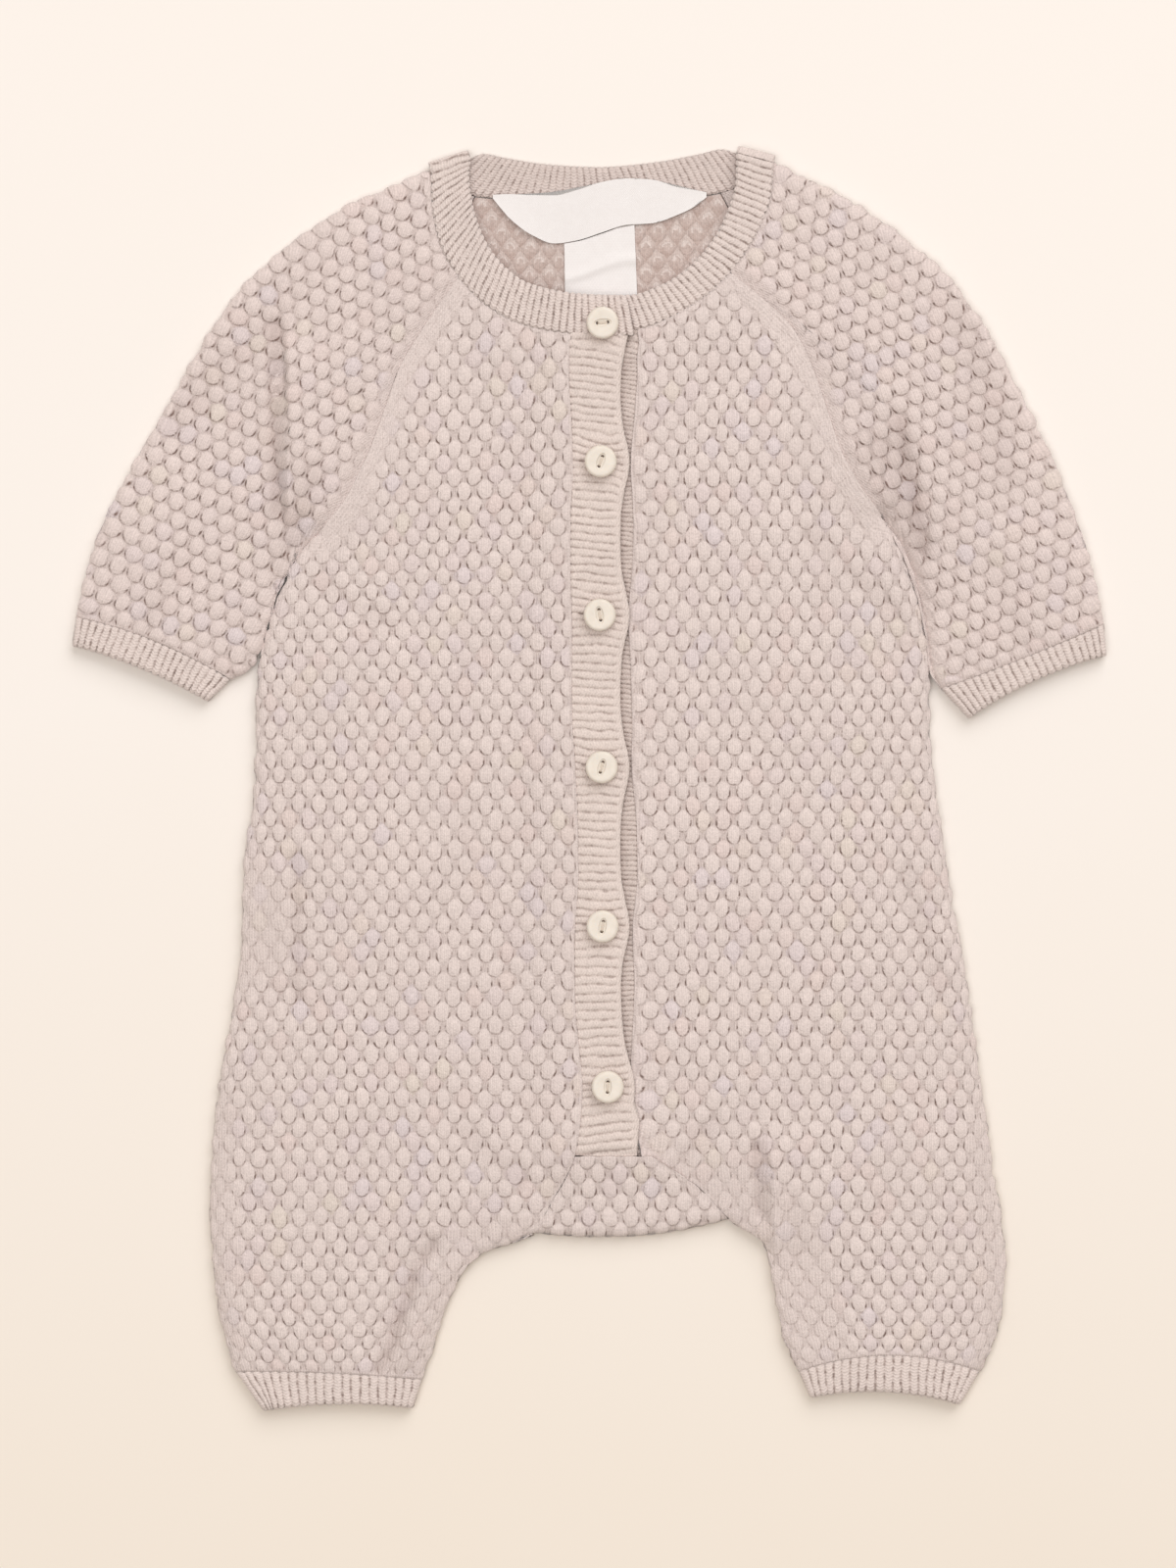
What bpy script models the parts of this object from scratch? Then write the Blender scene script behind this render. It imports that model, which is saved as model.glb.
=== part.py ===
"""A newborn's romper in bubble knit, laid flat on its back, as walls of cloth.

X runs across the garment, with the wearer's left at +X. Y runs from the legs up to the neck, and Z up from
the surface that the garment lies on. Sizes are in millimetres and become metres where a mesh is made. The back
lies on the surface, the fronts, gusset and bands lie on the back, and each side edge rounds over from one to
the other.
"""

import math
from collections import namedtuple

import bmesh
import bpy
import numpy as np

MM = 0.001

# Cloth
KNIT_WALL = 2.0
RIB_WALL = 1.6
RIB_HEIGHT = 0.5
RIB_PITCH = 2.2
LABEL_WALL = 0.5
GAP = 0.3
CUFF_GAP = 0.3  # how far a panel keeps back from a cuff's seam, which is drawn with finer steps
CURVE_GAP = 0.5  # the same at the neckline
GUSSET_GAP = 0.7  # the gusset keeps back from its curved seams

# How the layers lie
MID_HEIGHT = 2.6  # where front and back meet along a side edge
FRONT_INNER = 3.2  # inner face of the front layer
EDGE_RADIUS = 4.0  # how far in from a side edge the cloth is flat again
ON_EDGE = 0.5  # points this near a side edge count as lying on it
PUFF = 1.0  # how much fuller the front lies away from the outline
PUFF_REACH = 25.0
OVERLAP_RISE = 2.4  # the buttonhole band and the neckband's upper end lie this much above the layer below
RISE_FROM_X, RISE_TO_X = -24.0, -8.0
RISE_FROM_Y, RISE_TO_Y = -134.0, -118.0
GUSSET_RISE = 1.2  # the gusset swells below the bands' end
GUSSET_RISE_FROM_Y, GUSSET_RISE_TO_Y = -134.0, -120.0
FOLD_OVER = 6.0  # a fold fades out from this far within each end to as far past it
FOLD_FADE = 14.0

# Spacing of the points
ROW_STEP = 9.5
FRONT_COLUMNS = 6
LEG_COLUMNS = 5
CROTCH_COLUMNS = 6
GUSSET_COLUMNS = 8
SLEEVE_RINGS = 9
BACK_NECK_POINTS = 5  # on the back's share of a sleeve's neck seam
EDGE_POINTS = 25  # on each line that cloth is rounded over
CUFF_REACH = 30.0  # how far up a leg its rows bend with the cuff's seam
NECK_REACH = 40.0  # how far below the neckline the fronts' rows bend with it
NAPE_REACH = 20.0
CROTCH_REACH = 45.0  # how far above the crotch the back's rows sag with it
SPREAD_REACH = 120.0  # how far above the crotch the back's columns are evenly spread again
PLAIN_STEP = 8  # a ribbed wall's plain face has points at every fourth rib
CUFF_PLAIN_STEP = 6
CUFF_SIDE_POINTS = 4  # kept close together at each end of a cuff, where it rounds over
FOLD_POINTS = 3  # between one side of the neckband's fold and the other
EDGE_STEPS = (0.0, EDGE_RADIUS * (1.0 - math.cos(math.pi / 4)), EDGE_RADIUS)

Section = namedtuple("Section", "name side_x side_y inner_x inner_y")

RIGHT_FRONT = (
    Section("ankle", -111.9, -188.5, -52.7, -191.0),
    Section("shin", -115.6, -176.1, -48.4, -177.0),
    Section("calf", -118.0, -161.0, -43.1, -162.1),
    Section("knee", -119.2, -152.0, -34.5, -151.2),
    Section("crotch", -119.5, -143.0, -17.0, -144.4),
    Section("gusset", -119.7, -133.0, -11.8, -134.5),
    Section("placket", -119.0, -119.5, -4.5, -120.0),
    Section("hip", -116.8, -98.0, -2.0, -98.6),
    Section("seat", -112.8, -75.0, -4.2, -75.0),
    Section("waist", -109.9, -55.0, -4.6, -55.0),
    Section("middle", -108.9, -28.0, -3.2, -28.0),
    Section("ribs", -105.4, -3.0, -4.0, -3.0),
    Section("chest", -105.2, 25.0, -5.4, 25.0),
    Section("bust", -101.4, 43.0, -5.3, 46.0),
    Section("arm", -96.5, 57.5, -5.8, 62.0),
    Section("underarm", -85.6, 76.6, -5.7, 84.0),
    Section("raglan_1", -77.2, 87.4, -5.0, 95.0),
    Section("raglan_2", -70.1, 101.4, -5.2, 106.0),
    Section("raglan_3", -64.8, 115.3, -5.8, 117.0),
    Section("raglan_4", -59.8, 129.3, -6.2, 127.0),
    Section("raglan_5", -52.4, 141.7, -6.0, 134.0),
    Section("neck", -41.2, 157.8, -5.9, 139.9),
)

LEFT_FRONT = (
    Section("ankle", 123.7, -188.5, 66.3, -188.5),
    Section("shin", 129.3, -176.1, 61.8, -178.0),
    Section("calf", 131.1, -163.0, 59.2, -163.7),
    Section("knee", 131.4, -151.3, 55.8, -148.7),
    Section("crotch", 130.5, -138.9, 44.6, -140.2),
    Section("gusset", 128.3, -129.0, 34.5, -129.8),
    Section("placket", 127.0, -119.0, 19.5, -120.0),
    Section("hip", 124.0, -98.0, 16.5, -100.0),
    Section("seat", 121.3, -79.0, 15.4, -80.0),
    Section("waist", 118.3, -58.0, 15.3, -60.0),
    Section("middle", 114.4, -36.6, 16.2, -35.0),
    Section("ribs", 110.6, -12.0, 15.8, -12.0),
    Section("chest", 107.9, 12.0, 15.0, 12.0),
    Section("bust", 107.4, 34.0, 14.1, 32.0),
    Section("arm", 103.0, 60.5, 14.6, 62.0),
    Section("underarm", 93.0, 81.8, 14.9, 84.0),
    Section("raglan_1", 86.5, 90.5, 15.0, 95.0),
    Section("raglan_2", 80.3, 101.4, 15.2, 106.0),
    Section("raglan_3", 76.0, 113.8, 15.5, 117.0),
    Section("raglan_4", 71.9, 126.2, 16.0, 126.0),
    Section("raglan_5", 64.5, 141.5, 16.0, 134.0),
    Section("neck", 44.6, 159.3, 15.2, 141.4),
)

BackSection = namedtuple("BackSection", "name right_x right_y left_x left_y")

BACK_YOKE = (
    BackSection("underarm", -85.6, 76.6, 93.0, 81.8),
    BackSection("blade", -76.0, 95.0, 84.5, 97.0),
    BackSection("yoke", -66.0, 118.0, 74.0, 119.0),
    BackSection("shoulder", -54.0, 146.0, 62.0, 146.0),
    BackSection("neck", -36.0, 183.8, 41.5, 184.9),
)

Turn = namedtuple("Turn", "name free_x free_y seam_x seam_y")

NECK_FRONT_RIGHT = (
    Turn("upper end", 12.1, 151.3, 14.3, 139.2),
    Turn("placket", -5.2, 152.4, -5.9, 139.9),
    Turn("throat", -18.9, 155.6, -22.0, 143.2),
    Turn("collar bone", -27.6, 161.8, -32.9, 149.4),
    Turn("raglan", -33.8, 171.1, -41.2, 157.8),
    Turn("neck side", -37.0, 181.0, -47.4, 169.5),
    Turn("shoulder", -38.1, 190.0, -49.6, 182.0),
    Turn("fold", -37.5, 195.5, -49.9, 191.6),
)
NECK_BACK = (
    Turn("right fold", -37.5, 195.5, -49.9, 191.6),
    Turn("right shoulder", -33.5, 197.0, -45.0, 187.4),
    Turn("right raglan", -27.0, 195.8, -36.0, 183.8),
    Turn("right nape", -12.7, 193.6, -15.0, 182.4),
    Turn("nape", 3.0, 192.8, 5.0, 182.0),
    Turn("left nape", 20.0, 194.2, 25.0, 182.7),
    Turn("left raglan", 34.5, 196.8, 41.5, 184.9),
    Turn("left shoulder", 42.0, 198.4, 51.0, 188.6),
    Turn("left fold", 46.8, 197.0, 58.3, 194.0),
)
NECK_FRONT_LEFT = (
    Turn("fold", 46.8, 197.0, 58.3, 194.0),
    Turn("shoulder", 46.6, 188.5, 57.6, 184.5),
    Turn("neck side", 43.7, 177.9, 53.9, 173.6),
    Turn("raglan", 36.3, 165.5, 44.6, 159.3),
    Turn("collar bone", 24.5, 155.9, 30.7, 147.9),
    Turn("throat", 12.1, 151.9, 15.2, 141.4),
    Turn("lower end", -5.0, 151.9, -5.0, 139.8),
)

Point = namedtuple("Point", "x y")

RIGHT_SLEEVE_UPPER = (
    Point(-162.4, 50.2),
    Point(-159.0, 65.7),
    Point(-149.1, 89.0),
    Point(-136.7, 111.3),
    Point(-124.3, 133.3),
    Point(-111.9, 152.0),
    Point(-93.3, 169.3),
    Point(-68.5, 184.3),
    Point(-49.9, 191.6),
)
RIGHT_SLEEVE_LOWER = (
    Point(-113.5, 30.4),
    Point(-108.0, 35.0),
    Point(-104.6, 43.0),
    Point(-102.4, 52.0),
    Point(-99.4, 63.0),
    Point(-93.0, 71.5),
    Point(-85.6, 76.6),
)
LEFT_SLEEVE_UPPER = (
    Point(163.1, 48.0),
    Point(160.3, 62.6),
    Point(154.7, 78.1),
    Point(147.9, 97.5),
    Point(139.2, 115.3),
    Point(129.9, 133.9),
    Point(119.0, 151.5),
    Point(98.9, 170.8),
    Point(74.1, 186.6),
    Point(58.3, 194.0),
)
LEFT_SLEEVE_CORNER = (111.3, 27.6)
SLEEVE_TO_SIDE = 0.9  # the left sleeve's lower edge lies this far from the body's side

Cuff = namedtuple("Cuff", "name seam_a seam_b seam_bow end_a end_b end_bow ribs")

CUFFS = (
    Cuff("cuff_sleeve_right", (-113.5, 30.4), (-162.4, 50.2), 2.3, (-120.3, 23.6), (-163.7, 41.5), 1.5, 22),
    Cuff("cuff_sleeve_left", (111.3, 27.6), (163.1, 48.0), -0.7, (120.0, 18.2), (164.0, 38.4), 2.2, 22),
    Cuff("cuff_leg_right", (-111.9, -188.5), (-52.7, -191.0), 0.9, (-103.4, -200.7), (-55.5, -199.9), 1.8, 21),
    Cuff("cuff_leg_left", (66.3, -188.5), (123.7, -188.5), 5.2, (69.8, -196.5), (117.6, -198.8), 3.0, 21),
)

Fold = namedtuple("Fold", "name x0 y0 x1 y1 height left right")  # left and right: flank widths, seen along it

FOLDS = (
    Fold("right armhole", -94.5, 138.0, -94.5, 80.0, 2.4, 15.0, 1.8),
    Fold("left armhole", 95.5, 84.0, 85.0, 112.0, 2.2, 12.0, 1.8),
    Fold("left side over the sleeve", 102.5, 46.0, 93.0, 76.0, 1.2, 10.0, 3.0),
    Fold("left shoulder hollow", 92.0, 118.0, 84.0, 148.0, 0.9, 7.0, 9.0),
    Fold("right leg crease, upper", -52.0, -148.0, -60.5, -167.0, -1.3, 3.5, 4.5),
    Fold("right leg crease, lower", -60.5, -167.0, -66.5, -186.0, -1.5, 3.0, 4.0),
    Fold("right leg inner roll", -50.0, -156.0, -58.0, -186.0, 1.1, 5.0, 4.0),
    Fold("left leg inner roll", 57.5, -114.0, 59.5, -150.0, 1.9, 12.0, 2.0),
    Fold("right hip", -90.0, -48.0, -93.0, -70.0, 0.7, 6.0, 6.0),
    Fold("left waist", 88.0, -12.0, 96.0, -60.0, 0.6, 9.0, 8.0),
    Fold("left chest", 60.0, 84.0, 78.0, 60.0, 0.7, 9.0, 9.0),
)

Button = namedtuple("Button", "x y turn")  # turn: which way its two holes lie, in degrees

BUTTONS = (
    Button(4.3, 142.9, 5.0),
    Button(3.7, 99.2, 70.0),
    Button(3.4, 50.8, 100.0),
    Button(4.0, 2.8, 75.0),
    Button(4.3, -47.4, 80.0),
    Button(5.9, -98.0, 88.0),
)
BUTTON_RADIUS = 5.1
BUTTON_HEIGHT = 2.6
BUTTON_HOLE_RADIUS = 0.8
BUTTON_HOLE_SPREAD = 1.3
BUTTON_HOLE_SIDES = 8
BUTTON_SIDES = 20

Ring = namedtuple("Ring", "name radius height")  # shares of the button's radius and height

BUTTON_PROFILE = (
    Ring("underside", 0.0, 0.0),
    Ring("foot", 0.75, 0.0),
    Ring("girth", 1.0, 0.4),
    Ring("outer rim", 0.96, 0.85),
    Ring("rim", 0.82, 1.0),
    Ring("dish", 0.64, 0.72),
    Ring("middle", 0.0, 0.7),
)

BAND_TOP_Y = 138.6
BAND_END_Y = -119.4
TOP_BAND_EDGE_X = 9.9  # free edge between two buttons
TOP_BAND_BULGE = 2.9  # how far the free edge goes out beside a button
BULGE_REACH = 10.0
TOP_BAND_DRIFT = 2.0  # the band runs over to its free side near its lower end
DRIFT_FROM_Y, DRIFT_TO_Y = -60.0, -110.0
UNDER_BAND_LEFT_X = -3.0

Leaf = namedtuple("Leaf", "x low_y high_y")

NECK_LABEL = (
    Leaf(-30.4, 182.8, 184.0),
    Leaf(-25.0, 176.4, 184.2),
    Leaf(-18.0, 171.2, 183.9),
    Leaf(-11.0, 168.6, 183.8),
    Leaf(-4.0, 169.5, 185.4),
    Leaf(4.0, 172.0, 188.0),
    Leaf(12.0, 174.5, 189.2),
    Leaf(20.0, 175.0, 188.8),
    Leaf(28.0, 177.6, 186.4),
    Leaf(34.0, 180.6, 185.4),
    Leaf(37.2, 183.2, 184.8),
)
LABEL_HEIGHT = 2.4
LABEL_COLUMNS, LABEL_ROWS = 19, 3
TAB_LEFT, TAB_RIGHT = (-7.4, 150.6), (15.6, 152.4)  # where the tab goes below the neckband
TAB_TOP_LEFT_X, TAB_TOP_RIGHT_X = -7.8, 14.4
TAB_HIDDEN = 9.0  # how far the tab goes on below the neckband
TAB_COLUMNS, TAB_ROWS = 6, 4

COLOURS = {
    "knit": (0.72, 0.60, 0.54, 1.0),
    "rib": (0.68, 0.56, 0.51, 1.0),
    "button": (0.86, 0.82, 0.71, 1.0),
    "label": (0.90, 0.88, 0.86, 1.0),
}
ROUGHNESS = {"knit": 0.95, "rib": 0.95, "button": 0.35, "label": 0.7}
CREASE_ANGLE = math.radians(50.0)  # faces that meet at less are shaded as one


def blend(t):
    t = np.clip(t, 0.0, 1.0)
    return t * t * (3.0 - 2.0 * t)


def stations(points):
    steps = np.linalg.norm(np.diff(points, axis=0), axis=1)
    return np.concatenate([[0.0], np.cumsum(steps)])


def through(rows, where, at):
    """A smooth line through the rows, which never goes outside two neighbouring rows' values."""
    rows = np.asarray(rows, float)
    step = np.diff(where)[:, None]
    slope = np.diff(rows, axis=0) / step
    turn = slope[:-1] * slope[1:]
    weight_a = 2.0 * step[1:] + step[:-1]
    weight_b = step[1:] + 2.0 * step[:-1]
    safe = np.where(turn > 0.0, 1.0, 0.0)
    first = np.where(safe > 0, slope[:-1], 1.0)
    second = np.where(safe > 0, slope[1:], 1.0)
    inner = safe * (weight_a + weight_b) / (weight_a / first + weight_b / second)
    tangent = np.vstack([slope[:1], inner, slope[-1:]])
    k = np.clip(np.searchsorted(where, at, side="right") - 1, 0, len(where) - 2)
    h = step[k]
    t = ((at - where[k]) / h[:, 0])[:, None]
    return (
        rows[k] * (1 + 2 * t) * (1 - t) ** 2
        + rows[k + 1] * t * t * (3 - 2 * t)
        + h * tangent[k] * t * (1 - t) ** 2
        + h * tangent[k + 1] * t * t * (t - 1)
    )


def numbers(table):
    """The numeric columns of a table, without its names."""
    return np.array([[v for v in row if not isinstance(v, str)] for row in table], float)


def named_row(table, name):
    return next(i for i, row in enumerate(table) if row.name == name)


def sections(table, step=ROW_STEP):
    """The table's rows with smooth ones between, about a step apart, and where its own rows are among them."""
    rows = numbers(table)
    where = stations((rows[:, :2] + rows[:, 2:]) / 2)
    parts = [max(1, round(length / step)) for length in np.diff(where)]
    at = np.concatenate([np.linspace(a, b, n, endpoint=False) for a, b, n in zip(where, where[1:], parts)])
    at = np.append(at, where[-1])
    return through(rows, where, at), np.concatenate([[0], np.cumsum(parts)])


def curve(table, count=None, at=None):
    """Points along a smooth line through a table of points, evenly spread or at given shares of its length."""
    rows = np.asarray(table, float)
    where = stations(rows)
    shares = np.linspace(0.0, 1.0, count) if at is None else np.asarray(at)
    return through(rows, where, shares * where[-1])


def bowed(a, b, bow, at):
    """A line from a to b, bowed to its left, or up where it runs towards +X."""
    a, b = np.asarray(a, float), np.asarray(b, float)
    along = (b - a) / np.linalg.norm(b - a)
    side = np.array([-along[1], along[0]])
    side *= math.copysign(1.0, side[1])
    at = np.asarray(at)[:, None]
    return a + (b - a) * at + side * bow * 4.0 * at * (1.0 - at)


RIGHT_ROWS, RIGHT_MARKS = sections(RIGHT_FRONT)
LEFT_ROWS, LEFT_MARKS = sections(LEFT_FRONT)
UNDERARM = named_row(RIGHT_FRONT, "underarm")
CROTCH = named_row(RIGHT_FRONT, "crotch")
PLACKET = named_row(RIGHT_FRONT, "placket")


def neck_seam(table, start, end, count):
    """Points on the neckband's sewn edge between two named rows of one of its tables."""
    rows = numbers(table)
    where = stations((rows[:, :2] + rows[:, 2:]) / 2)
    at = np.linspace(where[named_row(table, start)], where[named_row(table, end)], count)
    return through(rows, where, at)[:, 2:]


def crotch_line(count):
    a, b = RIGHT_ROWS[RIGHT_MARKS[CROTCH], 2:], LEFT_ROWS[LEFT_MARKS[CROTCH], 2:]
    return bowed(a, b, -3.1, np.linspace(0.0, 1.0, count))


def left_sleeve_lower():
    """The left sleeve's lower edge, which lies against the body's side from cuff to underarm."""
    side = LEFT_ROWS[LEFT_MARKS[named_row(LEFT_FRONT, "bust")] : LEFT_MARKS[UNDERARM] + 1, :2]
    along = np.gradient(side, axis=0)
    along /= np.linalg.norm(along, axis=1)[:, None]
    apart = np.full(len(side), SLEEVE_TO_SIDE)
    apart[-1] = 0.0
    outwards = np.column_stack([along[:, 1], -along[:, 0]])
    return np.vstack([LEFT_SLEEVE_CORNER, side + outwards * apart[:, None]])


def rolled_edges():
    """The lines where cloth rounds over from front to back, each with the garment on its left."""
    right, left = RIGHT_MARKS, LEFT_MARKS
    return {
        "right side": RIGHT_ROWS[: right[UNDERARM] + 1, :2][::-1],
        "left side": LEFT_ROWS[: left[UNDERARM] + 1, :2],
        "right inseam": RIGHT_ROWS[: right[CROTCH] + 1, 2:],
        "left inseam": LEFT_ROWS[: left[CROTCH] + 1, 2:][::-1],
        "crotch": crotch_line(EDGE_POINTS),
        "right sleeve upper": curve(RIGHT_SLEEVE_UPPER, EDGE_POINTS)[::-1],
        "right sleeve lower": curve(RIGHT_SLEEVE_LOWER, EDGE_POINTS),
        "left sleeve upper": curve(LEFT_SLEEVE_UPPER, EDGE_POINTS),
        "left sleeve lower": curve(left_sleeve_lower(), EDGE_POINTS)[::-1],
    }


EDGES = rolled_edges()


def nearest(points, edge):
    """Distance from each point to a line of points, and the direction from the line to the point."""
    flat = points.reshape(-1, 2)
    best = np.full(len(flat), np.inf)
    away = np.zeros_like(flat)
    for a, b in zip(edge, edge[1:]):
        along = b - a
        t = np.clip((flat - a) @ along / (along @ along), 0.0, 1.0)
        offset = flat - (a + t[:, None] * along)
        distance = np.linalg.norm(offset, axis=1)
        length = math.hypot(*along)
        normal = np.array([-along[1], along[0]]) / length
        direction = np.where((distance > ON_EDGE)[:, None], offset / np.maximum(distance, ON_EDGE)[:, None], normal)
        closer = distance < best - 1e-9
        best = np.where(closer, distance, best)
        away = np.where(closer[:, None], direction, away)
    return best.reshape(points.shape[:-1]), away.reshape(points.shape)


def nearest_of(points, edges):
    """The same for several lines."""
    best = np.full(points.shape[:-1], np.inf)
    away = np.zeros(points.shape)
    for edge in edges:
        distance, direction = nearest(points, edge)
        closer = distance < best
        best = np.where(closer, distance, best)
        away = np.where(closer[..., None], direction, away)
    return best, away


def edges_of(*names):
    return [EDGES[name] for name in names]


def relief(points):
    """How far the front layer stands above its lowest level: fuller inside the outline, higher at folds."""
    distance, _ = nearest_of(points, EDGES.values())
    height = PUFF * blend(distance / PUFF_REACH)
    for fold in FOLDS:
        start = np.array([fold.x0, fold.y0])
        along = np.array([fold.x1, fold.y1]) - start
        length = math.hypot(*along)
        along /= length
        run = (points - start) @ along
        across = (points - start) @ np.array([-along[1], along[0]])
        width = np.where(across > 0.0, fold.left, fold.right)
        taper = blend((run + FOLD_OVER) / FOLD_FADE) * blend((length + FOLD_OVER - run) / FOLD_FADE)
        height = height + fold.height * np.exp(-((across / width) ** 2)) * taper
    return height


def placket_rise(points):
    """The right front climbs on to the button band near its placket edge."""
    x, y = points[..., 0], points[..., 1]
    over = blend((x - RISE_FROM_X) / (RISE_TO_X - RISE_FROM_X))
    return OVERLAP_RISE * over * blend((y - RISE_FROM_Y) / (RISE_TO_Y - RISE_FROM_Y))


def no_rise(points):
    return np.zeros(points.shape[:-1])


def upper_layer(plan, edges, wall, rise=no_rise, join=MID_HEIGHT + GAP / 2, seams=None):
    """Outer and inner points of cloth in the front layer, rounded down where it nears an edge."""
    cos, sin, away = rounding(plan, edges, seams)
    lift = (relief(plan) + rise(plan)) * sin
    outer = np.dstack([plan, join + (FRONT_INNER + wall - join) * sin + lift])
    inner = np.dstack([plan + away * (wall * cos)[..., None], join + (FRONT_INNER - join) * sin + lift])
    return outer, inner


def lower_layer(plan, edges, wall, join=MID_HEIGHT - GAP / 2, seams=None):
    """Outer and inner points of cloth in the back layer, flat on the surface, rounded up at the edges."""
    cos, sin, away = rounding(plan, edges, seams)
    outer = np.dstack([plan, join * (1.0 - sin)])
    inner = np.dstack([plan + away * (wall * cos)[..., None], join + (wall - join) * sin])
    return outer, inner


def rounding(plan, edges, seams):
    """How steep the cloth stands at each point, and which way is inwards: along the seam where one is given."""
    distance, away = nearest_of(plan, edges)
    if seams is not None:
        away = np.where(np.isnan(seams), away, seams)
    cos = np.clip(1.0 - distance / EDGE_RADIUS, 0.0, 1.0)
    return cos, np.sqrt(1.0 - cos * cos), away


def unit(vector):
    return vector / np.linalg.norm(vector)


def no_seams(plan):
    return np.full(plan.shape, np.nan)


def row_seam(seams, plan, row):
    """Marks a row as a seam: inwards is then along the row, from each of its ends."""
    half = plan.shape[1] // 2
    seams[row, :half] = unit(plan[row, -1] - plan[row, 0])
    seams[row, half:] = unit(plan[row, 0] - plan[row, -1])
    return seams


def drawn_in(plan, first_row=0.0, last_row=0.0, first_column=0.0, last_column=0.0):
    """The same grid with its edges moved in, each by its own distance square to that edge."""
    moved = plan.copy()
    sides = (
        (first_row, np.s_[0, :], np.s_[1, :]),
        (last_row, np.s_[-1, :], np.s_[-2, :]),
        (first_column, np.s_[:, 0], np.s_[:, 1]),
        (last_column, np.s_[:, -1], np.s_[:, -2]),
    )
    for amount, edge, next_in in sides:
        if not np.any(amount):
            continue
        line = plan[edge]
        along = np.gradient(line, axis=0)
        along /= np.linalg.norm(along, axis=1)[:, None]
        inward = plan[next_in] - line
        inward /= np.maximum(np.linalg.norm(inward, axis=1), 1e-9)[:, None]
        square = np.abs(along[:, 0] * inward[:, 1] - along[:, 1] * inward[:, 0])
        moved[edge] += inward * (np.asarray(amount) / np.maximum(square, 0.35))[..., None]
    return moved


def edge_shares(width, middle):
    """Shares of a row's width: close together at each end, where the cloth rounds over, and even between."""
    near = np.array(EDGE_STEPS) / width
    between = np.linspace(near[-1], 1.0 - near[-1], middle + 2)[1:-1]
    return np.concatenate([near, between, 1.0 - near[::-1]])


def rows_between(ends, middle):
    """A grid with a straight row of points between the two ends of each section."""
    grid = []
    for ax, ay, bx, by in ends:
        shares = edge_shares(math.hypot(bx - ax, by - ay), middle)[:, None]
        grid.append(np.array([ax, ay]) + shares * np.array([bx - ax, by - ay]))
    return np.array(grid)


def bend_row(plan, index, target, reach):
    """Moves one end row on to a curve, and the rows near it part of the way."""
    shift = target - plan[index]
    order = range(len(plan)) if index == 0 else range(len(plan) - 1, -1, -1)
    base = plan[index].mean(axis=0)
    for k in order:
        weight = 1.0 - blend(np.linalg.norm(plan[k].mean(axis=0) - base) / reach)
        plan[k] += shift * weight
    return plan


def coons(bottom, top, left, right):
    """A plan grid between four lines: bottom and top run across, left and right run from bottom to top."""
    u = (stations(bottom) / stations(bottom)[-1] + stations(top) / stations(top)[-1])[None, :, None] / 2
    v = (stations(left) / stations(left)[-1] + stations(right) / stations(right)[-1])[:, None, None] / 2
    ruled = (1 - v) * bottom[None] + v * top[None] + (1 - u) * left[:, None] + u * right[:, None]
    corners = (1 - v) * ((1 - u) * bottom[0] + u * bottom[-1]) + v * ((1 - u) * top[0] + u * top[-1])
    return ruled - corners


def material(kind):
    found = bpy.data.materials.get(kind)
    if found:
        return found
    made = bpy.data.materials.new(kind)
    made.use_nodes = True
    shader = made.node_tree.nodes["Principled BSDF"]
    shader.inputs["Base Color"].default_value = COLOURS[kind]
    shader.inputs["Roughness"].default_value = ROUGHNESS[kind]
    made.diffuse_color = COLOURS[kind]
    return made


def new_object(name, mesh, kind):
    made = bpy.data.objects.new(name, mesh)
    own = material(kind).copy()
    own.name = f"{name}_{kind}"
    mesh.materials.append(own)
    bpy.context.collection.objects.link(made)
    return made


def wall(name, outer, inner, kind, present=None, ring=False):
    """A closed wall of cloth between two grids of points. Cells that are not present are left out."""
    rows, columns = outer.shape[:2]
    across = columns if ring else columns - 1
    if present is None:
        present = np.ones((rows - 1, across), bool)
    faces = []
    grid = np.arange(rows * columns).reshape(rows, columns)
    under = grid + rows * columns

    def cell(r, c):
        return 0 <= r < rows - 1 and (ring or 0 <= c < across) and present[r, c % across]

    for r in range(rows - 1):
        for c in range(across):
            if not present[r, c]:
                continue
            n = (c + 1) % columns
            corners = (grid[r, c], grid[r, n], grid[r + 1, n], grid[r + 1, c])
            beneath = (under[r, c], under[r, n], under[r + 1, n], under[r + 1, c])
            faces.append(corners)
            faces.append(beneath[::-1])
            around = ((r - 1, c, 0, 1), (r, c + 1, 1, 2), (r + 1, c, 2, 3), (r, c - 1, 3, 0))
            for next_r, next_c, a, b in around:
                if not cell(next_r, next_c):
                    faces.append((corners[b], corners[a], beneath[a], beneath[b]))
    points = np.concatenate([outer.reshape(-1, 3), inner.reshape(-1, 3)]) * MM
    used = np.unique(np.array(faces))
    place = np.zeros(len(points), int)
    place[used] = np.arange(len(used))
    mesh = bpy.data.meshes.new(name)
    mesh.from_pydata(points[used].tolist(), [], place[np.array(faces)].tolist())
    shape = bmesh.new()
    shape.from_mesh(mesh)
    bmesh.ops.triangulate(shape, faces=shape.faces)
    if shape.calc_volume(signed=True) < 0.0:
        bmesh.ops.reverse_faces(shape, faces=shape.faces)
    shape.to_mesh(mesh)
    shape.free()
    shade(mesh)
    return new_object(name, mesh, kind)


def shade(mesh):
    mesh.shade_smooth()
    mesh.set_sharp_from_angle(angle=CREASE_ANGLE)


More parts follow.
